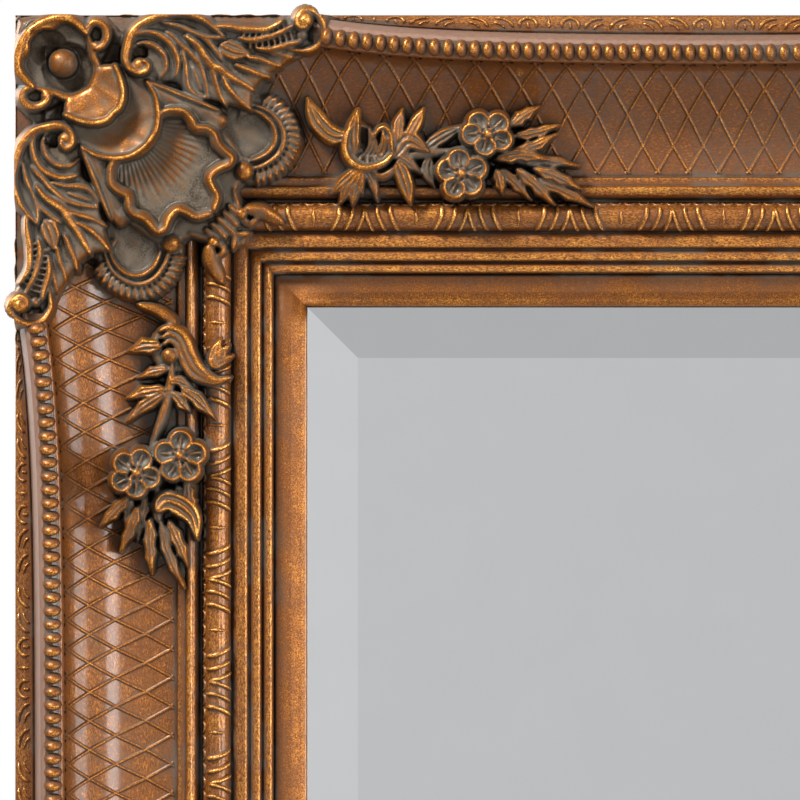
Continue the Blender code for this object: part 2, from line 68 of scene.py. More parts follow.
# The pitch of the lattice along each side, and the place of one crossing.
LATTICE = {"top": (12.0, 122.2), "bottom": (12.0, 122.2), "left": (11.43, 227.6), "right": (11.43, 227.6)}
TORUS_PITCH, LEAF_PITCH = 40.5, 69.0
BURIED = 9.0  # a level inside the moulding, where an ornament's skirt ends

# ---- The frame's axes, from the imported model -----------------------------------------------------

mounts = {mount["name"]: mount for mount in frame["record"]["mounts"]}
strap = mounts["wall_strap_back"]
lean = math.atan2(-strap["axis"][2], strap["axis"][1])
base_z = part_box("frame_bottom")[0].z
base_y = strap["pos_m"][1] - (strap["pos_m"][2] - base_z) * math.tan(lean)
FRAME_AXES = Matrix.Translation((0, base_y, base_z)) @ Matrix.Rotation(-lean, 4, "X")
MITRE_GAP = 0.2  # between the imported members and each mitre
WIDTH = round(1000 * (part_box("frame_top")[1].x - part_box("frame_top")[0].x) + 2 * MITRE_GAP)
stile = frame["nodes"]["frame_left"].data
stile_ends = [(FRAME_AXES.inverted() @ vertex.co).z for vertex in stile.vertices]
HEIGHT = round(1000 * max(stile_ends) + MITRE_GAP)


# ---- Materials -----------------------------------------------------------------------------------


class Nodes:
    """Short forms for building a node tree."""

    def __init__(self, tree):
        self.tree = tree

    def add(self, kind, **settings):
        node = self.tree.nodes.new(kind)
        for key, value in settings.items():
            setattr(node, key, value)
        return node

    def feed(self, socket, value):
        if isinstance(value, bpy.types.NodeSocket):
            self.tree.links.new(value, socket)
        else:
            socket.default_value = value

    def ramp(self, value, stops):
        made = self.add("ShaderNodeValToRGB")
        ramp = made.color_ramp
        while len(ramp.elements) < len(stops):
            ramp.elements.new(0.5)
        for element, (at, colour) in zip(ramp.elements, stops):
            element.position = at
            element.color = (*colour, 1) if isinstance(colour, tuple) else (colour, colour, colour, 1)
        self.feed(made.inputs["Fac"], value)
        return made.outputs["Color"]

    def math(self, operation, *values, clamp=False):
        made = self.add("ShaderNodeMath", operation=operation, use_clamp=clamp)
        for socket, value in zip(made.inputs, values):
            self.feed(socket, value)
        return made.outputs[0]


class Paint(Nodes):
    """Short forms for building one material."""

    def __init__(self, name):
        self.material = bpy.data.materials.new(name)
        self.material.use_nodes = True
        super().__init__(self.material.node_tree)
        self.shader = self.tree.nodes["Principled BSDF"]
        self.place = self.add("ShaderNodeTexCoord").outputs["Object"]

    def noise(self, scale, detail=3.0, roughness=0.55, stretch=(1, 1, 1)):
        """Noise whose features are about 1/scale metres across."""
        mapping = self.add("ShaderNodeMapping")
        self.feed(mapping.inputs["Vector"], self.place)
        mapping.inputs["Scale"].default_value = stretch
        made = self.add("ShaderNodeTexNoise")
        self.feed(made.inputs["Vector"], mapping.outputs[0])
        made.inputs["Scale"].default_value = scale
        made.inputs["Detail"].default_value = detail
        made.inputs["Roughness"].default_value = roughness
        return made.outputs["Fac"]

    def mix(self, factor, a, b):
        made = self.add("ShaderNodeMix", data_type="RGBA")
        self.feed(made.inputs[0], factor)
        for socket, value in ((made.inputs[6], a), (made.inputs[7], b)):
            self.feed(socket, (*value, 1) if isinstance(value, tuple) else value)
        return made.outputs[2]

    def bump(self, height, distance, strength=1.0, normal=None):
        made = self.add("ShaderNodeBump")
        self.feed(made.inputs["Height"], height)
        made.inputs["Distance"].default_value = distance
        made.inputs["Strength"].default_value = strength
        if normal is not None:
            self.feed(made.inputs["Normal"], normal)
        return made.outputs["Normal"]

    def finish(self, colour, roughness, metallic, normal=None):
        self.feed(self.shader.inputs["Base Color"], colour)
        self.feed(self.shader.inputs["Roughness"], roughness)
        self.feed(self.shader.inputs["Metallic"], metallic)
        if normal is not None:
            self.feed(self.shader.inputs["Normal"], normal)
        return self.material


CAST_STOPS = [
    (0.0, (0.008, 0.005, 0.003)),
    (0.13, (0.068, 0.057, 0.045)),
    (0.21, (0.078, 0.052, 0.031)),
    (0.30, (0.085, 0.030, 0.007)),
    (0.48, (0.225, 0.075, 0.009)),
    (0.68, (0.51, 0.185, 0.020)),
    (0.86, (0.84, 0.45, 0.10)),
    (1.0, (1.0, 0.76, 0.36)),
]
MOULDED_STOPS = [
    (0.0, (0.014, 0.006, 0.003)),
    (0.13, (0.040, 0.016, 0.007)),
    (0.24, (0.082, 0.027, 0.008)),
    (0.36, (0.150, 0.047, 0.009)),
    (0.50, (0.275, 0.092, 0.013)),
    (0.68, (0.52, 0.205, 0.028)),
    (0.86, (0.84, 0.47, 0.115)),
    (1.0, (1.0, 0.76, 0.36)),
]
# The bole under the gilding, a near-black brown laid in as painted shade in hollows, and grey dust.
BOLE, SHADE_BROWN, DUST = (0.075, 0.022, 0.006), (0.012, 0.007, 0.004), (0.082, 0.072, 0.060)


def antique_gold(name, stops, lacquer, reach, shade_power, grain=(1, 1, 1)):
    """Lacquered gold leaf over brown bole, bright where it is rubbed, with painted shade in its hollows.

    stops are its colours from the least to the most rubbed. Hollows narrower than reach, in metres,
    get painted shade, by the power shade_power. grain stretches its specks along an axis.
    """
    n = Paint(name)
    # The attribute read here holds how far the gold is rubbed, with painted highlight and shade added in places.
    rub = n.add("ShaderNodeAttribute", attribute_name="rub").outputs["Fac"]
    # Ambient occlusion, which lays painted shade into narrow hollows and places dust beside the relief.
    occlusion = n.add("ShaderNodeAmbientOcclusion", samples=8)
    occlusion.inputs["Distance"].default_value = reach
    unshaded = n.math("POWER", occlusion.outputs["AO"], shade_power)
    blotch = n.noise(90, 4, 0.6)
    speckle = n.noise(2200, 2, 0.6, grain)
    fleck = n.noise(1300, 3, 0.7, grain)
    wear_and_light = n.math("ADD", rub, n.math("MULTIPLY", n.math("SUBTRACT", blotch, 0.5), 0.42))
    wear_and_light = n.math("ADD", wear_and_light, n.math("MULTIPLY", n.math("SUBTRACT", fleck, 0.5), 0.8))
    # Painted shade: the value is cut down in narrow hollows, so they come out darker.
    wear_and_light = n.math("MULTIPLY", wear_and_light, unshaded, clamp=True)
    colour = n.ramp(wear_and_light, stops)
    specks = n.ramp(speckle, [(0.44, 1.0), (0.53, 0.0)])
    specks = n.math("MULTIPLY", specks, n.ramp(wear_and_light, [(0.25, 0.1), (0.42, 0.85)]))
    colour = n.mix(specks, colour, BOLE)
    # Painted shade: narrow hollows are darkened further toward a near-black brown.
    painted_shade = n.ramp(occlusion.outputs["AO"], [(0.1, 0.42 * shade_power), (0.6, 0.0)])
    colour = n.mix(painted_shade, colour, SHADE_BROWN)
    patches = n.ramp(n.noise(38, 4, 0.65), [(0.50, 0.0), (0.60, 0.75)])
    beside_relief = n.ramp(occlusion.outputs["AO"], [(0.6, 1.0), (0.95, 0.12)])
    dull = n.ramp(wear_and_light, [(0.35, 1.0), (0.7, 0.0)])
    dust = n.math("MULTIPLY", patches, n.math("MULTIPLY", beside_relief, dull))
    colour = n.mix(dust, colour, DUST)
    metallic = n.ramp(wear_and_light, [(0.18, 0.0), (0.45, 0.6)])
    roughness = n.ramp(wear_and_light, [(0.1, 0.6), (0.75, 0.3)])
    rough = n.bump(speckle, 0.00012, 0.3)
    n.shader.inputs["Coat Weight"].default_value = lacquer
    n.shader.inputs["Coat Roughness"].default_value = 0.12
    n.shader.inputs["Specular Tint"].default_value = (1.0, 0.80, 0.56, 1)
    return n.finish(colour, roughness, metallic, n.bump(fleck, 0.0003, 0.35, rough))


def plain_paint(name, noise, stops, roughness, metallic, bump=None):
    """One noise sets the colour and, where bump gives its height and strength, the fine relief."""
    n = Paint(name)
    texture = n.noise(*noise)
    normal = n.bump(texture, *bump) if bump else None
    return n.finish(n.ramp(texture, stops), roughness, metallic, normal)


def timber(name, along):
    """Dark stained close-grained timber whose grain runs along one axis, 0 for X and 2 for Z."""
    n = Paint(name)
    stretch = [14, 14, 14]
    stretch[along] = 0.7
    grain = n.noise(26, 6, 0.62, tuple(stretch))
    pores = n.noise(190, 3, 0.7, tuple(v * 0.5 for v in stretch))
    stain = [(0.3, (0.022, 0.010, 0.005)), (0.55, (0.062, 0.029, 0.013)), (0.8, (0.11, 0.055, 0.026))]
    colour = n.ramp(grain, stain)
    colour = n.mix(n.ramp(pores, [(0.55, 0.0), (0.7, 0.6)]), colour, (0.012, 0.006, 0.004))
    return n.finish(colour, n.ramp(grain, [(0.2, 0.52), (0.8, 0.38)]), 0.0, n.bump(pores, 0.0002, 0.4))


def fibreboard():
    n = Paint("fibreboard_face")
    weave = n.noise(900, 4, 0.7)
    cloud = n.noise(18, 4, 0.6)
    board = n.ramp(cloud, [(0.3, (0.115, 0.062, 0.032)), (0.7, (0.18, 0.105, 0.058))])
    colour = n.mix(n.ramp(weave, [(0.35, 0.0), (0.65, 0.5)]), board, (0.06, 0.03, 0.015))
    return n.finish(colour, 0.72, 0.0, n.bump(weave, 0.0004, 0.4))


def plated_steel():
    n = Paint("zinc_plate")
    brush = n.noise(700, 3, 0.6, (0.15, 1, 1))
    cloud = n.noise(60, 4, 0.6)
    colour = n.ramp(cloud, [(0.3, (0.42, 0.40, 0.36)), (0.7, (0.60, 0.58, 0.54))])
    return n.finish(colour, n.ramp(brush, [(0.3, 0.26), (0.7, 0.42)]), 1.0, n.bump(brush, 0.00008, 0.5))


GOLD = antique_gold("antique_gold", MOULDED_STOPS, 0.15, 0.003, 1.0)
CAST_GOLD = antique_gold("antique_gold_casting", CAST_STOPS, 0.12, 0.009, 1.7)
GOLD_ALONG_X = antique_gold("antique_gold_rail", MOULDED_STOPS, 0.5, 0.004, 0.9, grain=(0.45, 1, 1))
GOLD_ALONG_Z = antique_gold("antique_gold_stile", MOULDED_STOPS, 0.5, 0.004, 0.9, grain=(1, 1, 0.45))
STEEL = plated_steel()
RUBBER = plain_paint("moulded_rubber", (1500, 2), [(0.3, 0.012), (0.7, 0.03)], 0.78, 0.0, (0.0002, 0.5))
taupe = [(0.3, (0.14, 0.072, 0.044)), (0.7, (0.19, 0.105, 0.068))]
TAUPE = plain_paint("taupe_flank", (500, 4, 0.6, (1, 1, 0.15)), taupe, 0.5, 0.1, (0.0002, 0.3))
pine = [(0.3, (0.085, 0.045, 0.022)), (0.7, (0.19, 0.11, 0.06))]
PINE = plain_paint("washed_pine", (24, 6, 0.6, (12, 12, 0.6)), pine, 0.65, 0.0, (0.0005, 0.4))
silver = [(0.3, (0.885, 0.895, 0.912)), (0.7, (0.90, 0.91, 0.925))]
SILVER = plain_paint("silvered_glass_face", (40, 2), silver, 0.012, 1.0)


# ---- Meshes in the frame's axes ------------------------------------------------------------------


def side_point(side, s, t, d):
    """Arrays of s, t and d along a side as points in the frame's axes, in metres.

    s starts at the left or the top.
    """
    s, t, d = np.broadcast_arrays(s, t, d)
    half = WIDTH / 2
    across = {"top": s - half, "bottom": s - half, "left": t - half, "right": half - t}[side]
    up = {"top": HEIGHT - t, "bottom": t, "left": HEIGHT - s, "right": HEIGHT - s}[side]
    return np.stack([across, -d, up], axis=-1) / 1000


def make_piece(
    name, points, faces, material, body="frame", rub=None, turned=False, nodes=()
):
    """A smooth mesh from points in the frame's axes, in metres, riding on a body.

    The wear values say how far the gold is rubbed at each point, with painted highlight and shade added
    in places; turned flips the faces, and nodes are the CAD nodes that it replaces.
    """
    faces = np.asarray(faces, np.int32)
    if turned:
        faces = faces[:, ::-1]
    axes = np.array(FRAME_AXES)
    placed = np.asarray(points) @ axes[:3, :3].T + axes[:3, 3]
    mesh = bpy.data.meshes.new(name)
    mesh.vertices.add(len(placed))
    mesh.vertices.foreach_set("co", placed.astype(np.float32).ravel())
    mesh.loops.add(faces.size)
    mesh.loops.foreach_set("vertex_index", faces.ravel())
    mesh.polygons.add(len(faces))
    mesh.polygons.foreach_set("loop_start", np.arange(0, faces.size, faces.shape[1], dtype=np.int32))
    mesh.update(calc_edges=True)
    mesh.validate()
    mesh.shade_smooth()
    if rub is not None:
        layer = mesh.attributes.new("rub", "FLOAT", "POINT")
        layer.data.foreach_set("value", np.asarray(rub, np.float32).ravel())
    mesh.materials.append(material)
    obj = bpy.data.objects.new(name, mesh)
    bpy.context.scene.collection.objects.link(obj)
    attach(obj, body)
    if nodes:
        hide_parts(*nodes)
    return obj


def grid_faces(rows, columns, start=0):
    """Quads of a grid of points stored row by row."""
    index = np.arange(rows * columns).reshape(rows, columns) + start
    a, b, c, d = index[:-1, :-1], index[1:, :-1], index[1:, 1:], index[:-1, 1:]
    return np.stack([a, b, c, d], axis=-1).reshape(-1, 4)


def blurred(values, reach, axis):
    """A running mean over a number of samples either side."""
    width = 2 * reach + 1
    pad = [(0, 0)] * values.ndim
    pad[axis] = (reach + 1, reach)
    total = np.cumsum(np.pad(values, pad, mode="edge"), axis=axis)
    ahead = np.take(total, range(width, total.shape[axis]), axis=axis)
    behind = np.take(total, range(total.shape[axis] - width), axis=axis)
    return (ahead - behind) / width


def smooth_path(points, per_span=6, closed=False):
    """A Catmull-Rom curve through points, sampled."""
    points = np.asarray(points, float)
    count = len(points)
    if closed:
        ring = np.concatenate([points[-1:], points, points[:2]])
    else:
        ring = np.concatenate([[2 * points[0] - points[1]], points, [2 * points[-1] - points[-2]]])
    spans = count if closed else count - 1
    u = np.linspace(0, 1, per_span, endpoint=False)[:, None]
    out = []
    for i in range(spans):
        a, b, c, d = ring[i : i + 4]
        bend, twist = 2 * a - 5 * b + 4 * c - d, 3 * b - a - 3 * c + d
        out.append(0.5 * (2 * b + (c - a) * u + bend * u**2 + twist * u**3))
    if not closed:
        out.append(points[-1:])
    return np.concatenate(out)


# ---- The moulding's section ----------------------------------------------------------------------


def arc(centre, radii, first, last, steps):
    """Points of an ellipse from one angle to another, in degrees."""
    angle = np.radians(np.linspace(first, last, steps + 1))
    return np.stack([centre[0] + radii[0] * np.cos(angle), centre[1] + radii[1] * np.sin(angle)], axis=1)


def moulding_section():
    """Points (t, d) of the section from the outer edge in to the slip."""
    # The band at the outer edge, the rail with the seat of its beads, and the cove.
    parts = [[(0, 0), (0, 17.5)], arc((1.5, 17.6), (1.5, 1.6), 180, 100, 4)]
    parts += [[(4, 20.6), (7.2, 20.4), (8.0, 19.4)], [(8.2, 22), (8.9, 29), (10.4, 35.6)]]
    parts += [arc((12.6, 36.8), (2.2, 2.2), 165, 90, 5), [(15.4, 39.4), (18.0, 38.8)]]
    parts += [arc((17.8, 36.6), (2.3, 2.2), 80, -20, 6), [(19.6, 33.4), (20, 31.6)], arc(*COVE, 181, 270, 60)]
    # The fillet, the groove and the torus.
    parts += [[(63.9, 15.2), (64.1, 17.0), (64.6, 17.5), (66.9, 17.5)]]
    parts += [arc((68.7, 16.8), (1.5, 3.2), 170, 90, 5), arc((68.7, 16.8), (3.8, 3.2), 84, 0, 9)]
    parts += [[(72.7, 14.4), (73.2, 13.8), (74.0, 13.8), (74.4, 15)], arc(*TORUS, 178, 2, 24), [(85.9, 16.6)]]
    # Three ramps, each with its crest close to its inner edge.
    ramps = ((86.1, 92.2, 20.6, 18.0), (92.7, 97.4, 19.6, 17.0), (97.8, 102.1, 18.4, 13.6))
    for start, end, top, foot in ramps:
        crest = end - 1.2
        parts += [arc((crest, top - 2.6), (crest - start, 2.6), 178, 90, 10)]
        parts += [arc((crest, foot), (1.2, top - foot), 80, 0, 6)]
    parts += [[(102.4, 12.8), (MOULDING_IN, 12.2), (MOULDING_IN, 0)]]
    return np.concatenate([np.asarray(part, float) for part in parts])


def resampled(points, step):
    """Points at even steps along a polyline, keeping its corners."""
    out = [points[:1]]
    for a, b in zip(points, points[1:]):
        count = max(1, int(round(np.hypot(*(b - a)) / step)))
        out.append(a + (b - a) * (np.arange(1, count + 1) / count)[:, None])
    return np.concatenate(out)


def sweep_at(s, length):
    """How far the rail swings out at s along a side, as a negative shift of t."""
    near = np.minimum(s, length - s)
    return -SWEEP * np.exp(-np.maximum(near - CORNER_END, 0) / SWEEP_DECAY)


def swept(t, s, length):
    """A section's t where the rail's sweep has moved it."""
    shift = sweep_at(s, length)
    edge = t * (1 + shift / RAIL_OUT)
    cove = t + shift * (COVE_IN - t) / (COVE_IN - RAIL_IN)
    return np.select([t <= RAIL_OUT, t <= RAIL_IN, t <= COVE_IN], [edge, t + shift, cove], t + 0 * shift)


LENGTHS = {"top": WIDTH, "bottom": WIDTH, "left": HEIGHT, "right": HEIGHT}
FLIPPED = {"top": True, "bottom": False, "left": False, "right": True}


def stations(length):
    """Places along a side where its section is drawn: close beside the corners, and wide between."""
    near = np.concatenate([np.linspace(0, CORNER_END - 0.1, 14), np.arange(CORNER_END + 0.1, 300, 3.0)])
    near = near[near < length / 2 - 2]
    middle = np.linspace(near[-1], length - near[-1], max(3, int((length - 2 * near[-1]) / 18)))
    return np.concatenate([near, middle[1:-1], length - near[::-1]])


def build_mouldings():
    """The four mitred lengths, cut down under the corner castings, and their bare backs."""
    section = resampled(moulding_section(), 0.45)
    t, d = section[:, 0], section[:, 1]
    hollow = d - blurred(d, 7, 0)
    rub = np.clip(0.42 + hollow * 0.20, 0.10, 0.95)
    rub[(t > COVE_IN - 0.5) & (t < COVE_IN + 0.8)] = 0.15  # the foot of the cove
    rub[(t > 72.7) & (t < 74.5)] = 0.1  # the groove outside the torus
    rub[t < RAIL_OUT] = 0.50  # the band at the outer edge
    rub[(t > 74.5) & (d > 15)] += 0.05  # the torus and the three ramps
    rub[(t > 12.4) & (t < 18.2)] = 0.20  # the seat of the beads
    rub[(t >= 18.2) & (t < 20.2)] = 0.42  # the rail's inner edge
    for side, length in LENGTHS.items():
        s = stations(length)[:, None]
        corner = (np.minimum(s, length - s) < CORNER_END) & (t > RAIL_OUT) & (t < RAIL_IN)
        height = np.where(corner, np.minimum(d, 20 + (t - RAIL_OUT) * 0.8), d)
        across = swept(t[None, :], s, length)
        inset = np.clip(s, across, length - across)
        points = side_point(side, inset, across, height).reshape(-1, 3)
        material = GOLD_ALONG_X if side in ("top", "bottom") else GOLD_ALONG_Z
        # Painted shade: the coves of the top and bottom rails are made darker than those of the stiles.
        rail_cove_shade = 0.09 * (side in ("top", "bottom")) * ((t > RAIL_IN) & (t < COVE_IN))
        piece = make_piece(
            f"moulding_{side}",
            points,
            grid_faces(len(s), len(t)),
            material,
            rub=np.where(corner, 0.24, rub - rail_cove_shade),
            turned=FLIPPED[side],
            nodes=[f"frame_{side}"],
        )
        piece.data.materials.append(TAUPE)
        piece.data.materials.append(PINE)
        flank = np.where((t[:-1] > RAIL_OUT - 0.1) & (t[:-1] < 12.3), 1, 0)
        out_of_corner = np.minimum(s[:-1], length - s[1:]) > CORNER_END - 1
        flank = np.where((t[:-1] == 0) & (d[:-1] < 12), 2, flank * out_of_corner)
        piece.data.polygons.foreach_set("material_index", flank.ravel().astype(np.int32))
        ends = np.array([[0.1], [length - 0.1]])
        back = side_point(side, ends, np.array([0, MOULDING_IN]), 0.0)
        back[0, 1] = side_point(side, MOULDING_IN + 0.1, MOULDING_IN, 0)
        back[1, 1] = side_point(side, length - MOULDING_IN - 0.1, MOULDING_IN, 0)
        turned = not FLIPPED[side]
        make_piece(f"moulding_back_{side}", back.reshape(-1, 3), grid_faces(2, 2), PINE, turned=turned)


def build_slips():
    """The plain inner lengths, gilt to the sight edge and bare under it."""
    section = [np.array([(102.65, 0), (102.65, 13.0)]), arc((103.55, 13.2), (0.9, 0.9), 180, 90, 4)]
    section += [[(106, 14.2), (109.5, 13.8), (112.3, 12.6)], arc((112.5, 9.9), (2.5, 2.7), 85, 0, 8)]
    section += [[(115, 8.4), (108.8, 8.4), (108.8, 0), (102.65, 0)]]
    section = resampled(np.concatenate([np.asarray(part, float) for part in section]), 0.5)
    t, d = section[:, 0], section[:, 1]
    # The gilt is made brighter toward the sight edge: a painted highlight.
    rub = np.clip(0.39 + (t - 108) * 0.022, 0.32, 0.58)
    rub[(t < 103.4)] = 0.3
    for side, length in LENGTHS.items():
        s = np.linspace(0, length, max(8, int(length / 40)))[:, None]
        inset = np.clip(s, t, length - t)
        points = side_point(side, inset, t[None, :], d[None, :]).reshape(-1, 3)
        piece = make_piece(
            f"slip_face_{side}",
            points,
            grid_faces(len(s), len(t)),
            GOLD,
            rub=np.broadcast_to(rub, inset.shape),
            turned=FLIPPED[side],
            nodes=[f"slip_{side}"],
        )
        piece.data.materials.append(PINE)
        bare = (np.arange(len(t) - 1) > np.argmax(t)) & (d[1:] < 8.3)
        piece.data.polygons.foreach_set("material_index", np.tile(bare, len(s) - 1).astype(np.int32))


# ---- Beads, lattice and leaf bands, as raised strokes on the moulding ----------------------------


def build_beads():
    """The row of long beads across the crest of each rail."""
    half_width, half_length, bead_rise = 2.4, 3.7, 3.4
    seat_t, seat_d = 15.6, 38.6
    around = np.radians(np.arange(0, 360, 30))
    rings = np.radians([0, 18, 36, 54, 72, 88])
    ring, angle = (grid.ravel() for grid in np.meshgrid(rings, around, indexing="ij"))
    unit = np.stack([np.cos(ring) * np.cos(angle), np.cos(ring) * np.sin(angle), np.sin(ring)], axis=1)
    faces = grid_faces(len(rings), len(around))
    first = np.arange(len(rings) - 1) * len(around)
    last, after = first + len(around) - 1, first + len(around)
    faces = np.concatenate([faces, np.stack([last, last + len(around), after, first], axis=1)])
    for side, length in LENGTHS.items():
        start = CORNER_END + 3.5
        count = int((length - 2 * start) // BEAD_PITCH)
        centres = length / 2 + BEAD_PITCH * (np.arange(count + 1) - count / 2)
        shift = sweep_at(centres, length)
        slope = (sweep_at(centres + 1, length) - sweep_at(centres - 1, length)) / 2
        lean = -1 if side in ("top", "bottom") else 1
        wide, long = half_width * unit[:, 0], half_length * unit[:, 1]
        along = centres[:, None] + lean * 0.9 * unit[:, 2] + wide - long * slope[:, None]
        across = seat_t + shift[:, None] + long + wide * slope[:, None]
        height = np.broadcast_to(seat_d + bead_rise * unit[:, 2], along.shape)
        # Each bead is brightest at its crest and on the side it leans to: rubbed gilt at the crest and a painted
        # highlight on that side.
        facing = np.clip(0.8 * unit[:, 2] + 0.4 * lean * unit[:, 0], 0, 1)
        rub = np.broadcast_to(0.16 + 0.60 * facing**1.3, along.shape)
        every = (np.arange(count + 1) * len(unit))[:, None, None] + faces[None]
        make_piece(
            f"beads_{side}",
            side_point(side, along, across, height).reshape(-1, 3),
            every.reshape(-1, 4),
            GOLD,
            rub=rub,
            turned=not FLIPPED[side],
            nodes=[f"bead_strip_{side}"],
        )


STROKE_ACROSS = np.array([-1.0, -0.55, 0.0, 0.55, 1.0])
STROKE_RISE = np.array([-0.25, 0.72, 1.0, 0.72, -0.25])


class Strokes:
    """Raised lines drawn on a moulding's surface, gathered into one mesh for each side."""

    def __init__(self, surface):
        self.surface = surface
        self.points, self.faces, self.rub = [], [], []
        self.count = 0

    def line(self, along, across, width, rise, taper=True, tones=(0.22, 0.5, 0.72)):
        """A ridge along a path, with the tones of its foot, shoulder and crest."""
        path = np.stack([along, across], axis=1)
        tangent = np.gradient(path, axis=0)
        tangent /= np.linalg.norm(tangent, axis=1)[:, None] + 1e-9
        normal = np.stack([-tangent[:, 1], tangent[:, 0]], axis=1)
        ends = np.ones(len(path))
        if taper:
            u = np.linspace(0, 1, len(path))
            ends = np.clip(np.minimum(u, 1 - u) * 5 + 0.25, 0, 1)
        offset = (STROKE_ACROSS * width / 2)[None, :, None] * ends[:, None, None]
        spread = path[:, None, :] + normal[:, None, :] * offset
        lift = STROKE_RISE[None, :] * rise * ends[:, None]
        made = self.surface(spread[..., 0], spread[..., 1], lift)
        self.points.append(made.reshape(-1, 3))
        self.faces.append(grid_faces(len(path), 5, self.count))
        self.rub.append(np.broadcast_to(np.array([*tones, tones[1], tones[0]]), lift.shape).ravel())
        self.count += len(path) * 5

    def piece(self, name, turned):
        make_piece(
            name,
            np.concatenate(self.points),
            np.concatenate(self.faces),
            GOLD,
            rub=np.concatenate(self.rub),
            turned=turned,
        )


def section_surface(side, section):
    """Maps (along, arc length across the section, lift) to a point on that part of the moulding."""
    length = LENGTHS[side]
    step = np.hypot(*np.diff(section, axis=0).T)
    reach = np.concatenate([[0], np.cumsum(step)])
    tangent = np.gradient(section, axis=0)
    tangent /= np.linalg.norm(tangent, axis=1)[:, None]

    def surface(along, across, lift):
        t = np.interp(across, reach, section[:, 0])
        d = np.interp(across, reach, section[:, 1])
        lean_t = -np.interp(across, reach, tangent[:, 1])
        lean_d = np.interp(across, reach, tangent[:, 0])
        return side_point(side, along, swept(t, along, length) + lean_t * lift, d + lean_d * lift)

    return surface, reach[-1]


def build_lattice():
    """The diamond lattice raised on the cove, in five rows of crossings."""
    cove = arc(*COVE, 181, 269, 50)
    clear = 74  # how far from the ends the lattice starts, under the corner castings
    for side, length in LENGTHS.items():
        surface, reach = section_surface(side, cove)
        strokes = Strokes(surface)
        across = np.linspace(0.2, reach - 0.2, 40)
        row = np.interp(across, [0, *LATTICE_ROWS, reach], [-0.35, 0, 1, 2, 3, 4, 4.2])
        pitch, start = LATTICE[side]
        for i in range(int((start - clear) / -pitch) - 3, int((length - start) / pitch) + 3):
            for way in (-1, 1):
                along = start + i * pitch + way * row * pitch / 2
                inside = (along > clear) & (along < length - clear)
                if inside.sum() > 3:
                    strokes.line(along[inside], across[inside], 1.8, 0.6, False, (0.08, 0.3, 0.6))
        strokes.piece(f"lattice_{side}", FLIPPED[side])


def build_torus_leaves():
    """Cut leaves along the outer torus, and its scalloped edge."""
    torus = arc(*TORUS, 178, 2, 30)
    clear, lobe_pitch = 100, 5.5
    bold = (0.14, 0.4, 0.85)
    lobe = smooth_path([(-2.4, 0.4), (-1.2, 1.9), (1.2, 1.9), (2.4, 0.4)])
    for side, length in LENGTHS.items():
        surface, reach = section_surface(side, torus)
        scale = reach / 11.0
        strokes = Strokes(surface)
        count = int((length / 2 - 84) / TORUS_PITCH) + 1
        for i in range(-count, count + 1):
            middle = length / 2 + i * TORUS_PITCH
            if min(middle, length - middle) < clear:
                continue
            strokes.line(middle + np.array([0, 0, 0.1, 0]), np.array([3.2, 5, 6.4, 8]) * scale, 1.9, 0.9)
            for way in (-1, 1):
                for offset, width in ((8.0, 2.8), (13.2, 2.4)):
                    bend = smooth_path([(offset + 2.2, 2.6), (offset + 1.8, 5.4), (offset - 1.6, 9.4)])
                    strokes.line(middle + way * bend[:, 0], bend[:, 1] * scale, width, 1.5, tones=bold)
                fork = smooth_path([(20.2, 3.4), (19.2, 6), (16.4, 9.8)])
                strokes.line(middle + way * fork[:, 0], fork[:, 1] * scale, 2.4, 1.4, tones=bold)
        for i in range(int((length - 2 * clear) / lobe_pitch)):
            middle = clear + lobe_pitch * i
            strokes.line(middle + lobe[:, 0], lobe[:, 1] * scale, 1.2, 0.6)
        strokes.piece(f"torus_leaves_{side}", FLIPPED[side])


def build_edge_leaves():
    """Leaves and bars on the flat band at the outer edge."""
    band = np.array([(0.6, 19.0), (1.5, 19.3), (4, 20.5), (7.2, 20.3)])
    for side, length in LENGTHS.items():
        surface, reach = section_surface(side, band)
        strokes = Strokes(surface)
        count = int((length / 2 - 130) / LEAF_PITCH) + 1
        for i in range(-count, count + 1):
            middle = length / 2 + i * LEAF_PITCH
            strokes.line(middle + np.zeros(4), np.linspace(0.8, 5.6, 4), 2.0, 0.9)
            for way in (-1, 1):
                loop = smooth_path([(5.2, 5.8), (5.2, 2.6), (8.3, 0.9), (11.4, 2.6), (11.6, 5.8)])
                strokes.line(middle + way * loop[:, 0], loop[:, 1], 2.0, 1.0)
                vein = smooth_path([(8.3, 2.8), (8.4, 4.2), (8.3, 5.8)])
                strokes.line(middle + way * vein[:, 0], vein[:, 1], 1.6, 0.8)
                for offset in (17.0, 27.0):
                    bend = smooth_path([(-3, 5.8), (-1.6, 3), (1.4, 1.3), (4.6, 1.0)])
                    strokes.line(middle + way * (offset + bend[:, 0]), bend[:, 1], 2.0, 1.0)
                    low = smooth_path([(0.4, 6), (2, 4.2), (5, 3)])
                    strokes.line(middle + way * (offset + low[:, 0]), low[:, 1], 1.5, 0.8)
        strokes.piece(f"edge_leaves_{side}", FLIPPED[side])


build_mouldings()
build_slips()
build_beads()
build_lattice()
build_torus_leaves()
build_edge_leaves()

# ---- Cast ornament, as reliefs over the frame's face ---------------------------------------------


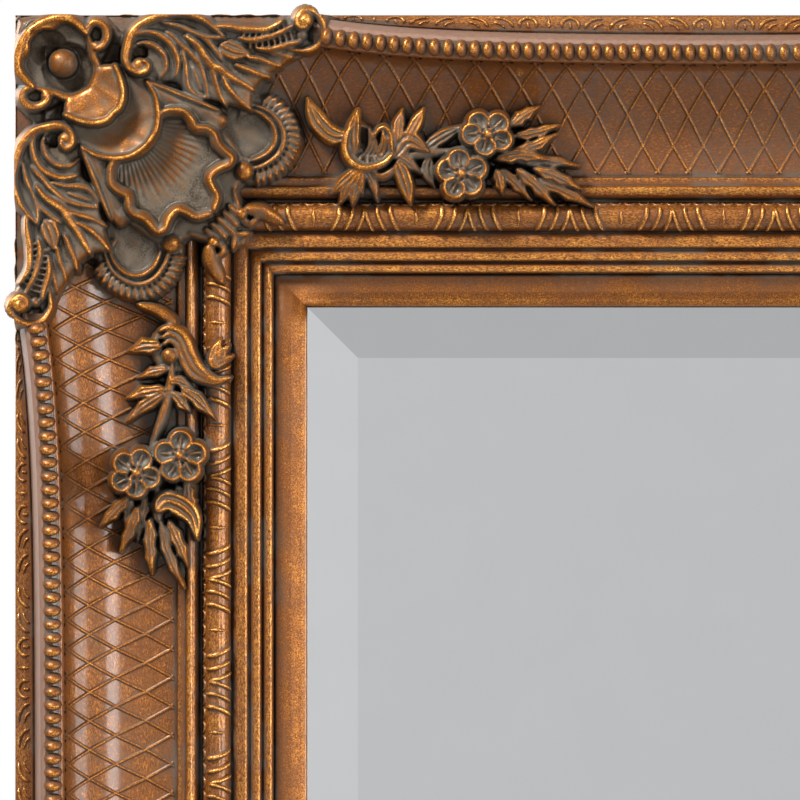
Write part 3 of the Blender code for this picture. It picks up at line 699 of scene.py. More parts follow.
class Relief:
    """Heights above the flat back over a patch of (s, t), built up from ridges, leaves, balls and slabs."""

    def __init__(self, low, high, pitch):
        self.s = np.arange(low[0], high[0] + pitch, pitch)
        self.t = np.arange(low[1], high[1] + pitch, pitch)
        self.grid_s, self.grid_t = np.meshgrid(self.s, self.t, indexing="ij")
        self.height = np.full(self.grid_s.shape, BURIED)
        self.tone = np.full(self.grid_s.shape, 0.4)

    def window(self, points, margin):
        """The part of the patch around some points."""
        low, high = np.min(points, axis=0) - margin, np.max(points, axis=0) + margin
        rows = slice(*np.searchsorted(self.s, (low[0], high[0])))
        columns = slice(*np.searchsorted(self.t, (low[1], high[1])))
        return rows, columns

    def put(self, part, height, tone):
        """Raises the patch to a height wherever that is higher, and gives it that tone there."""
        above = height > self.height[part]
        self.height[part] = np.where(above, height, self.height[part])
        self.tone[part] = np.where(above, tone, self.tone[part])

    def nearest(self, path, part):
        """Distance to a path, which side of it a place is on, and how far along it, from 0 to 1."""
        s, t = self.grid_s[part], self.grid_t[part]
        best, side, along = np.full(s.shape, 1e9), np.ones(s.shape), np.zeros(s.shape)
        for i, (a, b) in enumerate(zip(path[:-1], path[1:])):
            run = b - a
            u = np.clip(((s - a[0]) * run[0] + (t - a[1]) * run[1]) / (run @ run + 1e-9), 0, 1)
            gap = np.hypot(s - a[0] - u * run[0], t - a[1] - u * run[1])
            closer = gap < best
            best = np.where(closer, gap, best)
            side = np.where(closer, np.sign(run[0] * (t - a[1]) - run[1] * (s - a[0])), side)
            along = np.where(closer, (i + u) / (len(path) - 1), along)
        return best, side, along

    def inside(self, outline, part):
        """Which places of a part lie within a closed outline."""
        s, t = self.grid_s[part], self.grid_t[part]
        within = np.zeros(s.shape, bool)
        for a, b in zip(outline, np.roll(outline, -1, axis=0)):
            crosses = (a[1] > t) != (b[1] > t)
            within ^= crosses & (s < (b[0] - a[0]) * (t - a[1]) / (b[1] - a[1] + 1e-12) + a[0])
        return within

    def ridge(self, points, width, top, rise=2.0, tone=0.5, ends=0.35, flank=1.7):
        """A ridge along a curve, steep on one side and flank times as wide on the other.

        top may be the heights of its two ends, and ends is their share of the full width.
        """
        path = smooth_path(points, 4)
        part = self.window(path, width + 3)
        gap, side, u = self.nearest(path, part)
        first, last = top if isinstance(top, tuple) else (top, top)
        half = width / 2 * (ends + (1 - ends) * np.sqrt(np.clip(4 * u * (1 - u), 0, 1)))
        half = np.where(side > 0, half * flank, half * 0.9)
        across = gap / np.maximum(half, 0.2)
        inside = rise * (np.sqrt(np.clip(1 - across**2, 0, 1)) - 1)
        crest = first + (last - first) * u
        shade = tone * (1 - 0.55 * np.clip(across, 0, 1) ** 1.5)
        self.put(part, crest + np.where(across < 1, inside, -rise - 9 * (gap - half)), shade)

    def leaf(self, points, width, top, rise=2.2, tone=0.45, notches=0):
        """A pointed leaf along a curve, from its base to its tip, hollow either side of a raised midrib."""
        path = smooth_path(points, 5)
        part = self.window(path, width + 3)
        gap, side, u = self.nearest(path, part)
        first, last = top if isinstance(top, tuple) else (top, top)
        half = width / 2 * np.clip(np.sin(math.pi * np.clip(u, 0, 1) ** 0.75) + 0.12, 0.1, 1)
        if notches:
            half = half * (1 - 0.3 * np.abs(np.sin(math.pi * (notches * u + 0.15 * side))))
        across = gap / np.maximum(half, 0.2)
        depths = [0, -0.1, -0.62, -0.12, -0.3, -0.9]
        hollow = rise * np.interp(across, [0, 0.12, 0.32, 0.62, 0.85, 1], depths)
        inside = np.where(across < 1, hollow, -0.9 * rise)
        crest = first + (last - first) * u
        shade = tone * (1.04 - 0.3 * np.exp(-(((across - 0.34) / 0.16) ** 2)))
        self.put(part, crest + inside - np.where(across < 1, 0, 9 * (gap - half)), shade)

    def ball(self, at, radius, top, tone=0.6):
        part = self.window(np.array([at]), radius + 2)
        gap = np.hypot(self.grid_s[part] - at[0], self.grid_t[part] - at[1])
        dome = np.sqrt(np.clip(radius**2 - gap**2, 0, None)) - radius
        self.put(part, top + np.where(gap < radius, dome, -radius - 9 * (gap - radius)), tone)

    def slab(self, outline, top, soft=2.5, rise=1.5, tone=0.3, slope=9.0):
        """A raised area with a rounded edge. top is a height, or a function of (s, t)."""
        path = smooth_path(outline, 3, closed=True)
        part = self.window(path, 6)
        ring = np.concatenate([path, path[:1]])
        gap, _, _ = self.nearest(ring, part)
        level = top(self.grid_s[part], self.grid_t[part]) if callable(top) else top
        shoulder = rise * (np.sqrt(np.clip(1 - np.clip(1 - gap / soft, 0, 1) ** 2, 0, 1)) - 1)
        self.put(part, level + np.where(self.inside(path, part), shoulder, -rise - slope * gap), tone)

    def dish(self, at, radius, floor, lip=0.0, tone=0.15):
        """Cuts a round hollow, down to its floor in the middle and lip higher at its edge."""
        part = self.window(np.array([at]), radius + 1)
        gap = np.hypot(self.grid_s[part] - at[0], self.grid_t[part] - at[1]) / radius
        cut = (gap < 1) & (self.height[part] > floor + lip * gap**2)
        self.height[part] = np.where(cut, floor + lip * gap**2, self.height[part])
        self.tone[part] = np.where(cut, tone, self.tone[part])

    def mirror(self):
        """Makes the patch symmetric about its diagonal."""
        higher = self.height.T > self.height
        self.tone = np.where(higher, self.tone.T, self.tone)
        self.height = np.where(higher, self.height.T, self.height)

    def cast(self):
        """Softens the carving a little and makes it uneven, as a casting is."""
        s, t = self.grid_s, self.grid_t
        uneven = np.sin(0.61 * s + 1.7 * np.sin(0.31 * t)) * np.sin(0.53 * t + 1.3 * np.sin(0.27 * s + 0.6))
        soft = blurred(blurred(self.height, 1, 0), 1, 1)
        plain = (np.abs(soft - self.height) < 2.5) & (self.height > BURIED + 4)
        self.height = np.where(plain, 0.4 * self.height + 0.6 * soft + 0.16 * uneven, self.height)
        self.tone = self.tone * (1 + 0.18 * uneven)

    def rub(self):
        """How rubbed each place is: its tone, more where it stands out and less where it is hollow."""
        soft = blurred(blurred(self.height, 3, 0), 3, 1)
        return np.clip(self.tone - 0.03 + 0.26 * np.clip(self.height - soft, -2, 0.75), 0.05, 1)

    def pieces(self):
        """Points (s, t, d), faces and rub, with only the part that stands above the buried level."""
        rows, columns = self.height.shape
        faces = grid_faces(rows, columns)
        height = np.maximum(self.height, BURIED)
        keep = (height.ravel()[faces] > BURIED + 0.01).any(axis=1)
        faces = faces[keep]
        used, faces = np.unique(faces, return_inverse=True)
        points = np.stack([self.grid_s.ravel(), self.grid_t.ravel(), height.ravel()], axis=1)[used]
        return points, faces.reshape(-1, 4), self.rub().ravel()[used]


def ground_under(s, t):
    """The ground of the corner ornament, highest at the outer edges."""
    return 26 + 8 * np.exp(-((np.maximum(np.minimum(s, t), 0) / 25) ** 2))


def ripple(relief, points, count, length, width, top, turn=1, tone=0.5, rise=1.4, lean=0.0):
    """Short ribs set across a curve, like the lay of a rope."""
    path = smooth_path(points, 12)
    step = np.concatenate([[0], np.cumsum(np.hypot(*np.diff(path, axis=0).T))])
    for u in (np.arange(count) + 0.5) / count:
        at = np.array([np.interp(u * step[-1], step, path[:, k]) for k in (0, 1)])
        ahead = np.array([np.interp(min(u * step[-1] + 0.5, step[-1]), step, path[:, k]) for k in (0, 1)])
        behind = np.array([np.interp(max(u * step[-1] - 0.5, 0), step, path[:, k]) for k in (0, 1)])
        run = (ahead - behind) / (np.hypot(*(ahead - behind)) + 1e-9)
        out = np.array([-run[1], run[0]]) * turn + run * lean
        relief.ridge([at, at + out * length / 2, at + out * length], width, top, rise, tone, ends=0.6)


def corner_flower(r):
    """The quatrefoil at the outer corner, its rim broad and bright toward the corner."""
    ground = [
        (3, 3), (16, 1.4), (24, 3.5), (37, 4), (38, 12), (30, 20), (34, 30), (20, 34), (12, 38), (4, 37),
        (3.5, 24), (1.4, 16),
    ]
    r.slab(ground, 36, tone=0.2, slope=14)
    r.slab(
        [(5.4, 5.4), (9.5, 3.2), (15.6, 1.4), (20, 1.6), (23, 3.4), (18.6, 3.8), (15.6, 6.4), (12.6, 10.4),
         (8.6, 8.6)],
        42, 3.2, 3.0, 0.5,
    )
    r.dish((21.5, 20.5), 10.4, 30.5, 4.0, tone=0.17)
    r.dish((13.6, 13.6), 7.6, 32.0, 3.0, tone=0.19)
    r.dish((22.5, 9), 5.0, 33, 2.0, tone=0.17)
    r.dish((33.0, 8.6), 4.0, 30.5, 2.0, tone=0.16)
    r.ridge(
        [(28.6, 7.6), (25.6, 4.6), (22.4, 2.4), (19.6, 1.7), (16.0, 2.1), (11.5, 3.6), (8.0, 5.6),
         (6.4, 6.4)],
        3.6, 42.6, 2.8, 0.58, 0.6, 1.3,
    )
    r.ridge(
        [(28.6, 7.6), (29.6, 4.6), (31.6, 3.0), (34.2, 3.3), (36.2, 5.0), (37.2, 7.6), (36.8, 10.4),
         (35, 13), (32.6, 14)],
        2.8, 42, 2.4, 0.5, 0.6,
    )
    r.ball((32.4, 13), 2.3, 41, 0.5)
    r.ridge(
        [(29, 7.8), (30.6, 11.6), (31.8, 16.5), (33.4, 20.4), (33.2, 25), (31.4, 28.6), (30, 30)],
        2.4, 40, 2.2, 0.46,
    )
    r.ball((19.4, 19.4), 5.6, 42, 0.34)


def corner_bowl(r):
    """The smooth bowl behind the shell, with the bright crescent that hangs over it."""

    def bowl(s, t):
        out = np.hypot(s - 33, t - 33)
        return 32.5 + 9.5 * np.clip(out / 33, 0, 1) ** 1.6

    outline = [
        (42, 22), (50, 24.5), (54.5, 28.5), (57, 33), (58.4, 38), (58, 44), (55.5, 50.5), (50.5, 55.5),
    ]
    outline += [(44, 58), (38, 58.4), (33, 57), (28.5, 54.5), (24.5, 50), (22, 42), (33, 33)]
    r.slab(outline, bowl, 2.4, 1.6, tone=0.42)
    r.ridge(
        [(52.4, 26.4), (55.6, 31.4), (57.0, 36.6), (57.2, 41.1), (56.2, 46.2), (53.4, 50.6), (50.6, 53.4)],
        1.9, (41, 42.4), 1.8, 0.52,
    )
    edge = [(40.3, 20.5), (42.2, 25.2), (43.2, 29.6), (43.2, 33.4), (41.9, 37.2), (39.4, 39.4)]
    half = [(33, 21), *edge]
    whole = half + [(y, x) for x, y in half[::-1]] + [(29, 29)]
    r.slab(
        whole, lambda s, t: 40.2 + 3.4 * np.clip((np.hypot(s - 25, t - 25) - 7) / 14, 0, 1), 2.4, 2.2,
        tone=0.44,
    )
    r.ridge(edge, 1.9, 44.6, 1.8, 0.64, ends=0.7)


def corner_acanthus(r):
    """The long leaf that unrolls from beside the corner flower to the scroll at the start of the rail."""
    r.slab(
        [(43, 19), (43.5, 11), (47, 5), (54, 0.8), (64, -0.6), (74, 1.5), (82, 6), (90, 5), (99, 5.5),
         (106, 2), (112, 4), (112, 13), (108, 19), (99, 25), (94, 31), (93.5, 37.6), (86, 36), (77, 34),
         (69, 33), (64, 27), (56, 27), (47, 27)],
        lambda s, t: 36.6 - 0.04 * t, 3, 2.5, tone=0.27, slope=14,
    )
    r.ridge(
        [(50.6, 17.8), (53.2, 20), (52.0, 22.8), (48.6, 23.4), (45.0, 21.4), (43.6, 17.4), (44.3, 12.6),
         (45.8, 7.9), (48.6, 4.7), (53, 2), (58, 0.4), (63, -0.6), (68, -0.4), (73, 1.2), (77, 3.5),
         (82.8, 8.7)],
        3.0, (43, 41), 2.8, 0.56,
    )
    r.ridge(
        [(46, 8.5), (50, 7.0), (54, 7), (58.5, 8.5), (62, 11.4), (64.4, 16), (65, 20), (63.8, 25)],
        2.4, (41.5, 38), 2.4, 0.5,
    )
    r.ridge(
        [(46.5, 13), (50, 11.4), (54, 11.6), (57.4, 13.6), (59.8, 17), (60, 22), (57, 26)],
        2.4, (40.5, 37), 2.4, 0.46,
    )
    r.dish((49.6, 15.2), 3.0, 30, 1.0, 0.08)
    r.ball((49.4, 20.4), 3.0, 42, 0.54)
    r.ridge([(58.3, 3.2), (62.2, 3.9), (66.7, 5.2), (70.6, 7), (75.6, 8.8), (83, 9.4)], 2.0, 40, 2.4, 0.5)
    r.ridge(
        [(60.2, 6.8), (62.7, 8.5), (65.2, 11), (68.1, 13.4), (70.6, 15.9), (73.1, 18.9), (74.6, 22.3),
         (75.8, 27.3), (76.5, 33.2)],
        2.4, (40, 36.5), 2.6, 0.52,
    )
    r.ridge(
        [(66.6, 14.6), (67.9, 19.4), (68.2, 23.3), (68.6, 27.3), (70.1, 30.2), (73.1, 32.2), (76, 33)],
        2.3, (38.5, 36), 2.4, 0.5,
    )
    r.ridge([(70.6, 20.8), (71.6, 23.3), (72.6, 26.3), (73.8, 30)], 1.6, 37, 1.8, 0.45)
    r.ridge(
        [(68.1, 8.7), (72.6, 12), (75.6, 16.4), (78, 19.4), (81.5, 21.3), (84.4, 23.6), (87.4, 25.5),
         (91.4, 27.8), (94.8, 30)],
        3.4, (41.5, 36), 3.0, 0.6,
    )
    r.ridge([(77.6, 18.9), (78.9, 23.3), (80.1, 27.8), (81.6, 32.2), (83.7, 36)], 2.4, (39, 35.5), 2.5, 0.5)
    r.ridge([(82.6, 25), (85.0, 29.2), (87.9, 32.7), (90.4, 34.9), (93.6, 37.6)], 2.4, (38.5, 35), 2.5, 0.5)
    r.ridge([(87.4, 19.9), (92.3, 21.6), (96.3, 23.2), (101.2, 24.8)], 2.4, (39.5, 36), 2.4, 0.52)
    r.ridge([(91.9, 16.8), (96.8, 17.4), (100.7, 18.9), (105.2, 20.4)], 2.3, (39.5, 36), 2.4, 0.52)
    r.ridge([(100.7, 14.9), (105.7, 15.7), (110.1, 16.9)], 2.2, (38.5, 35.5), 2.2, 0.5)
    r.ridge([(71, 7.6), (76, 10), (80, 14.4), (82.4, 18.4)], 2.0, 39.5, 2.2, 0.46)
    r.leaf([(81.4, 12.2), (86.6, 14.6), (93.0, 15.8)], 7.6, (40, 39), 2.2, 0.5)
    r.ridge(
        [(79.5, 4.8), (85, 4.9), (89.4, 5.6), (93.3, 5.9), (98.3, 6), (101.7, 5), (106.2, 2.4)],
        2.4, 41, 2.6, 0.58,
    )
    r.ridge([(88.9, 9.4), (93.3, 10), (98.3, 9.2), (103.2, 7.8), (110.6, 4.2)], 2.2, 40.6, 2.4, 0.52)
    r.ridge([(96.2, 13.6), (101.2, 13.6), (105.2, 12.5), (109.1, 11.4), (113, 10.7)], 2.2, 40, 2.4, 0.52)
    ripple(r, [(90, 6.6), (96, 7.3), (102, 5.9), (107, 3.4)], 8, 3.4, 1.1, 39.6, 1, 0.46)
    ripple(r, [(92, 10.8), (98, 10.2), (104, 8.6), (110, 6.6)], 8, 3.2, 1.1, 39.0, 1, 0.44)


def corner_scroll(r):
    """The scroll that ends the leaf, where the rail starts."""
    r.slab(
        [(106, 4), (111, 0), (117, -0.5), (121.5, 3), (122.4, 7), (120.5, 12), (116, 14.5), (108, 14.5)],
        35, 2, 1.5, tone=0.25, slope=14,
    )
    r.dish((117.2, 7.2), 3.4, 32, 1.0, 0.1)
    r.ridge(
        [(115.4, 5.6), (112.4, 5.0), (111.4, 2.0), (114.2, -1.2), (118, -1.0), (121.0, 1.8), (122.3, 6),
         (121.3, 10.4), (118.8, 13.1), (115, 14.6), (108.5, 14)],
        3.6, (45, 38), 3.0, 0.60, flank=1.1,
    )
    r.ball((114.8, 2.6), 2.9, 45.4, 0.62)
    r.ball((113.6, 8.2), 2.2, 39, 0.45)


def corner_shell(r):
    """The fluted shell, its waved rim and the strap round it."""
    r.slab(
        [(60, 36), (70, 38), (78, 41), (86, 50), (91, 60), (87, 72), (86, 86), (72, 87), (60, 91), (50, 86),
         (41, 78), (38, 70), (36, 60), (48, 48)],
        lambda s, t: ground_under(s, t) + 4, 2, 1.5, tone=0.30,
    )
    rim = [
        (57, 39.4), (60, 38), (63, 37.6), (67, 38), (70, 41), (72, 44.4), (76, 45), (79, 47), (80.6, 51),
        (83, 53.6), (86, 56.4), (84.9, 59.4), (80.5, 61.4), (77.5, 64.5), (78.5, 68), (80.4, 72), (79, 77),
    ]
    half = smooth_path(rim, 3)
    whole = np.concatenate([half, half[::-1, ::-1], [(46, 46)]])

    def hollow(s, t):
        out = np.hypot(s - 42, t - 42)
        turn = np.arctan2(t - 42, s - 42)
        flute = np.clip((36 - out) / 8, 0, 1) * np.clip((out - 8) / 8, 0, 1)
        return 30.5 + 0.085 * out + 0.9 * flute * np.cos(turn * 38)

    part = r.window(whole, 2)
    s, t = r.grid_s[part], r.grid_t[part]
    beyond = r.inside(whole, part) & (np.hypot(s - 33, t - 33) > 27)
    r.height[part] = np.where(beyond, hollow(s, t), r.height[part])
    tone = 0.17 + 0.20 * np.clip((38 - np.hypot(s - 42, t - 42)) / 14, 0, 1)
    r.tone[part] = np.where(beyond, tone, r.tone[part])
    strap = [
        (52, 26), (59, 29.5), (66, 32.6), (73, 35), (80, 38), (84, 42), (80, 46.4), (76, 45.6), (71.6, 44),
        (69, 39.6), (63, 38), (57, 39),
    ]
    r.slab(strap, lambda s, t: 40.5 - 0.42 * np.clip(t - 28, 0, 14), 4.0, 3.0, tone=0.42)
    r.ridge(rim, 3.4, (40.5, 38.5), 3.0, 0.36, ends=0.8)
    r.ridge(rim, 1.5, (41.2, 39.2), 1.2, 0.52, ends=0.9)
    r.ridge([(53, 26.6), (61, 29.8), (69, 33.0), (75, 35.4), (81, 38)], 1.7, (41, 36.5), 1.6, 0.50)


def corner_ear(r):
    """The roped ear in the cove, with its ball."""
    ear = [
        (90, 33), (99, 33), (105, 35), (110.5, 40), (113.4, 49), (111.6, 56), (106, 62), (98, 66), (90, 66),
        (88, 56), (88, 44),
    ]
    r.slab(ear, 28.4, 2, 1.5, tone=0.34)
    r.dish((94.5, 48), 9.0, 20.5, 3.5, 0.16)
    r.ridge(
        [(92, 36.4), (98.0, 39.4), (101.8, 42.8), (103.4, 47), (102.9, 51), (100.6, 54.4), (97.6, 56.4),
         (93.6, 58)],
        1.7, 32, 1.8, 0.42,
    )
    r.ridge(
        [(93, 35), (100.4, 38.0), (104.2, 41.6), (106.4, 46), (106.6, 50.4), (104.8, 54.6), (101.7, 57.6),
         (97.6, 60), (93, 61.2)],
        1.8, 31.6, 1.8, 0.42,
    )
    ripple(
        r, [(97, 34.6), (103, 38), (107.4, 44.5), (108.0, 50.5), (105.8, 56), (101.2, 60.2), (95, 62.6)],
        17, 4.0, 1.9, 30.2, -1, 0.40, 1.0, 0.3,
    )
    r.ball((90.5, 61.9), 3.4, 35.5, 0.52)


def corner_knot(r):
    """The small ribbed knot where the inner mouldings meet, and the drops beside it."""
    r.slab([(72, 80), (80, 72), (87, 74), (91, 82), (91, 91), (82, 91), (74, 87)], 28, 2, 1.5, tone=0.2)
    for i in (-2, -1, 0, 1, 2):
        start = (80 + 2.3 * i, 80 - 2.3 * i)
        r.ridge(
            [start, (start[0] + 3.4, start[1] + 3.4),
             (start[0] + 6.4 - abs(i) * 0.5, start[1] + 6.4 - abs(i) * 0.5)],
            2.1, (33, 31), 1.9, 0.40,
        )
    r.ridge([(86.5, 69), (88, 74), (89.6, 79), (92.6, 82), (96, 79.4)], 3.0, (31, 30), 2.4, 0.38)
    r.ridge([(92, 76.2), (97, 76.6), (101, 78.6), (105.5, 81.4)], 4.8, (33, 28), 3.0, 0.46, 0.5)
    r.ball((89.6, 78.6), 2.2, 33.5, 0.46)
    r.ridge([(83, 85.6), (88, 86.6), (92.6, 86)], 2.2, 30.5, 2.0, 0.42)


def place_castings(name, node, relief, swapped=False):
    """One piece at each corner, from a relief worked out at the upper left. swapped reads its s as t."""
    points, faces, rub = relief.pieces()
    in_x, in_z, d = points[:, [1, 0, 2] if swapped else [0, 1, 2]].T
    for down in ("top", "bottom"):
        for across in ("left", "right"):
            x = (in_x - WIDTH / 2) * (1 if across == "left" else -1)
            z = HEIGHT - in_z if down == "top" else in_z
            corner = f"{down}_{across}"
            make_piece(
                name.format(corner),
                np.stack([x, -d, z], axis=1) / 1000,
                faces,
                CAST_GOLD,
                rub=rub,
                turned=((across == "left") == (down == "top")) != swapped,
                nodes=[node.format(corner)],
            )


def build_corners():
    relief = Relief((-5, -5), (125, 125), 0.44)
    panel = [
        (2, 2), (16, 0.2), (27, 2.4), (38, 3.5), (43.5, 8), (52, 2.5), (66, -0.4), (82, 6), (98, 6.4),
        (108, 2), (116, -1),
    ]
    panel += [
        (122, 6), (118, 14.4), (104, 22), (96, 31), (103, 36), (111, 43), (112, 53), (104, 62), (92, 66),
        (86, 76), (86, 86),
    ]
    half = np.array(panel, float)
    whole = np.concatenate([half, half[::-1, ::-1]])
    relief.slab(whole, ground_under, 2, 1.5, tone=0.2, slope=14)
    carvings = [
        corner_shell, corner_bowl, corner_flower, corner_acanthus, corner_scroll, corner_ear, corner_knot,
    ]
    for carve in carvings:
        carve(relief)
    relief.mirror()
    # Past the frame's outer edge only the end scrolls stay.
    along, across = np.maximum(relief.grid_s, relief.grid_t), np.minimum(relief.grid_s, relief.grid_t)
    scroll, scroll_reach = (114.6, 1.4), 5.6
    outside = (across < 0.2) & (np.hypot(along - scroll[0], across - scroll[1]) > scroll_reach)
    relief.cast()
    relief.height = np.where(outside, BURIED, relief.height)
    place_castings("corner_casting_{}", "corner_ornament_{}", relief)


def blossom(r, centre, petals, radius, top):
    """A five-petalled flower with cupped petals and a beaded eye."""
    centre = np.array(centre, float)
    for i, petal in enumerate(petals):
        petal = centre + 0.86 * (np.array(petal, float) - centre)
        out = (petal - centre) / np.hypot(*(petal - centre))
        side = np.array([-out[1], out[0]])
        turns = np.radians(range(-150, 151, 30))
        ring = [petal + radius * (math.cos(a) * out + 1.05 * math.sin(a) * side) for a in turns]
        r.ball(petal, radius * 0.96, top - 0.2 * (i % 2), 0.34)
        r.dish(petal + out * 0.2, radius * 0.72, top - 2.6, 1.4, 0.30)
        r.ridge(ring, 1.2, top + 0.5, 1.3, 0.56, ends=0.8)
        r.ridge([centre + out * 2, petal, petal + out * radius * 0.6], 0.9, top - 1.0, 0.8, 0.5)
    r.dish(centre, 2.8, top - 3, 1.0, 0.1)
    r.ball(centre, 2.1, top + 0.6, 0.55)
    for a in np.radians(range(0, 360, 60)):
        r.ball(centre + 2.5 * np.array([math.cos(a), math.sin(a)]), 0.7, top - 0.3, 0.5)


def rail_spray():
    """The spray on the top and bottom rails, lily first and leaf tips last."""
    r = Relief((112, 29), (233, 83), 0.42)
    r.leaf([(133, 48), (126, 47.8), (120.8, 43.6), (117.6, 38.4), (115.8, 33.4)], 7.0, (29, 30), 2.4, 0.52)
    r.slab(
        [(131, 47), (134, 41), (138, 43), (142, 46), (146.5, 45), (149, 50), (147.5, 57), (141, 61),
         (135, 60), (131, 55)],
        27, 2, 2, tone=0.34,
    )
    r.dish((140.2, 51), 7.4, 21, 5.5, tone=0.20)
    for a in np.radians(range(20, 171, 25)):
        far = (140.2 + 7 * math.cos(a), 51 + 7 * math.sin(a))
        r.ridge([(140.2 + 2 * math.cos(a), 51 + 2 * math.sin(a)), far], 1.5, (22.6, 27.6), 1.2, 0.36)
    r.leaf([(134, 55), (133.6, 46), (135.6, 37.6)], 5.4, (28, 31), 2.2, 0.52)
    r.leaf([(138, 57), (141.6, 52), (140.0, 45.0)], 4.4, (25, 29), 2, 0.40)
    r.leaf([(143, 58), (146.4, 53), (145.4, 46.4)], 5.0, (26, 30), 2, 0.46)
    r.ridge(
        [(132.8, 44.7), (131, 48.6), (130.8, 53.4), (132.6, 57.3), (136.4, 60), (141.1, 60), (145.9, 58.1),
         (149, 55)],
        2.6, (30, 30), 2.4, 0.6,
    )
    r.ridge([(141.4, 49), (143.2, 45.4), (146.4, 44.4), (148.8, 48), (149.2, 54)], 1.9, (28, 30), 2.0, 0.50)
    fan = [((125.7, 70.6), 4.2), ((128.4, 74.6), 4.2), ((133.4, 75.6), 4.2), ((137.4, 71.2), 3.6)]
    for tip, width in fan:
        middle = ((136 + tip[0]) / 2 - 0.6, (62 + tip[1]) / 2)
        r.leaf([(137, 60.5), middle, tip], width * 1.2, (29.5, 26.5), 2.2, 0.48)
    r.leaf([(138.5, 61), (141.4, 66.4), (143.3, 73.8)], 3.6, (28, 26), 2.0, 0.45)
    r.ridge([(141.1, 61), (144, 63.4), (148, 62), (152, 58)], 2.6, 28, 2.0, 0.42)
    r.ridge([(148, 56), (158, 55), (168, 54), (180, 54), (196, 54)], 3.0, (27, 26), 2.2, 0.3)
    r.leaf([(151, 50), (151.6, 44), (153.2, 37.4)], 4.6, (29, 28), 2.2, 0.5)
    r.leaf([(155, 49.5), (158.2, 43.4), (161.6, 37)], 4.8, (29, 28), 2.2, 0.5)
    r.leaf([(149, 57), (155, 49.5), (163.5, 54)], 8.0, (28.5, 28.5), 2.0, 0.44)
    r.leaf([(151.4, 55.8), (155.5, 58.4), (160.5, 62.6)], 4.4, (28.5, 27), 2.2, 0.5)
    r.leaf([(151, 58), (154.2, 66), (156.3, 75)], 6.4, (30, 26.5), 2.4, 0.52)
    r.leaf([(162, 53), (168.5, 48.5), (178, 43.5)], 5.6, (26, 25), 2.0, 0.28)
    r.leaf([(164, 56), (163, 62), (166, 68)], 5.0, (26, 25), 2.0, 0.34)
    tips = [
        ((196, 44), (201, 40), (207, 36.4)), ((197, 48), (206, 46.6), (215, 43.6)),
        ((197, 54), (205, 52), (214, 47)),
    ]
    tips += [
        ((198, 58), (210, 57.6), (222.5, 59.8)), ((205, 61), (214, 64), (223.5, 69)),
        ((204, 65), (216, 69.4), (228.4, 75.8)),
    ]
    tips += [
        ((198, 61), (205.6, 67.4), (213.2, 75)), ((192, 61), (197.6, 66.4), (204, 73)),
        ((190, 61), (191.4, 66), (192.6, 71)),
    ]
    for i, tip in enumerate(tips):
        r.leaf(list(tip), 5.6, (29.6 - 2.4 * (i % 2), 27.4 - 1.6 * (i % 2)), 2.2, 0.5, notches=3)
    r.leaf([(190, 57), (200, 55.5), (211, 57.5)], 5.8, (31, 29), 2.4, 0.54, notches=3)
    petals = [(182.5, 42), (191.5, 42.5), (193, 50), (185.5, 52.5), (179.4, 47.4)]
    blossom(r, (186.9, 47.1), petals, 3.9, 33)
    petals = [(170, 61.3), (175.1, 56.6), (183, 60.4), (180.9, 67.8), (173.1, 69.2)]
    blossom(r, (176.4, 62.8), petals, 4.0, 33.5)
    return r


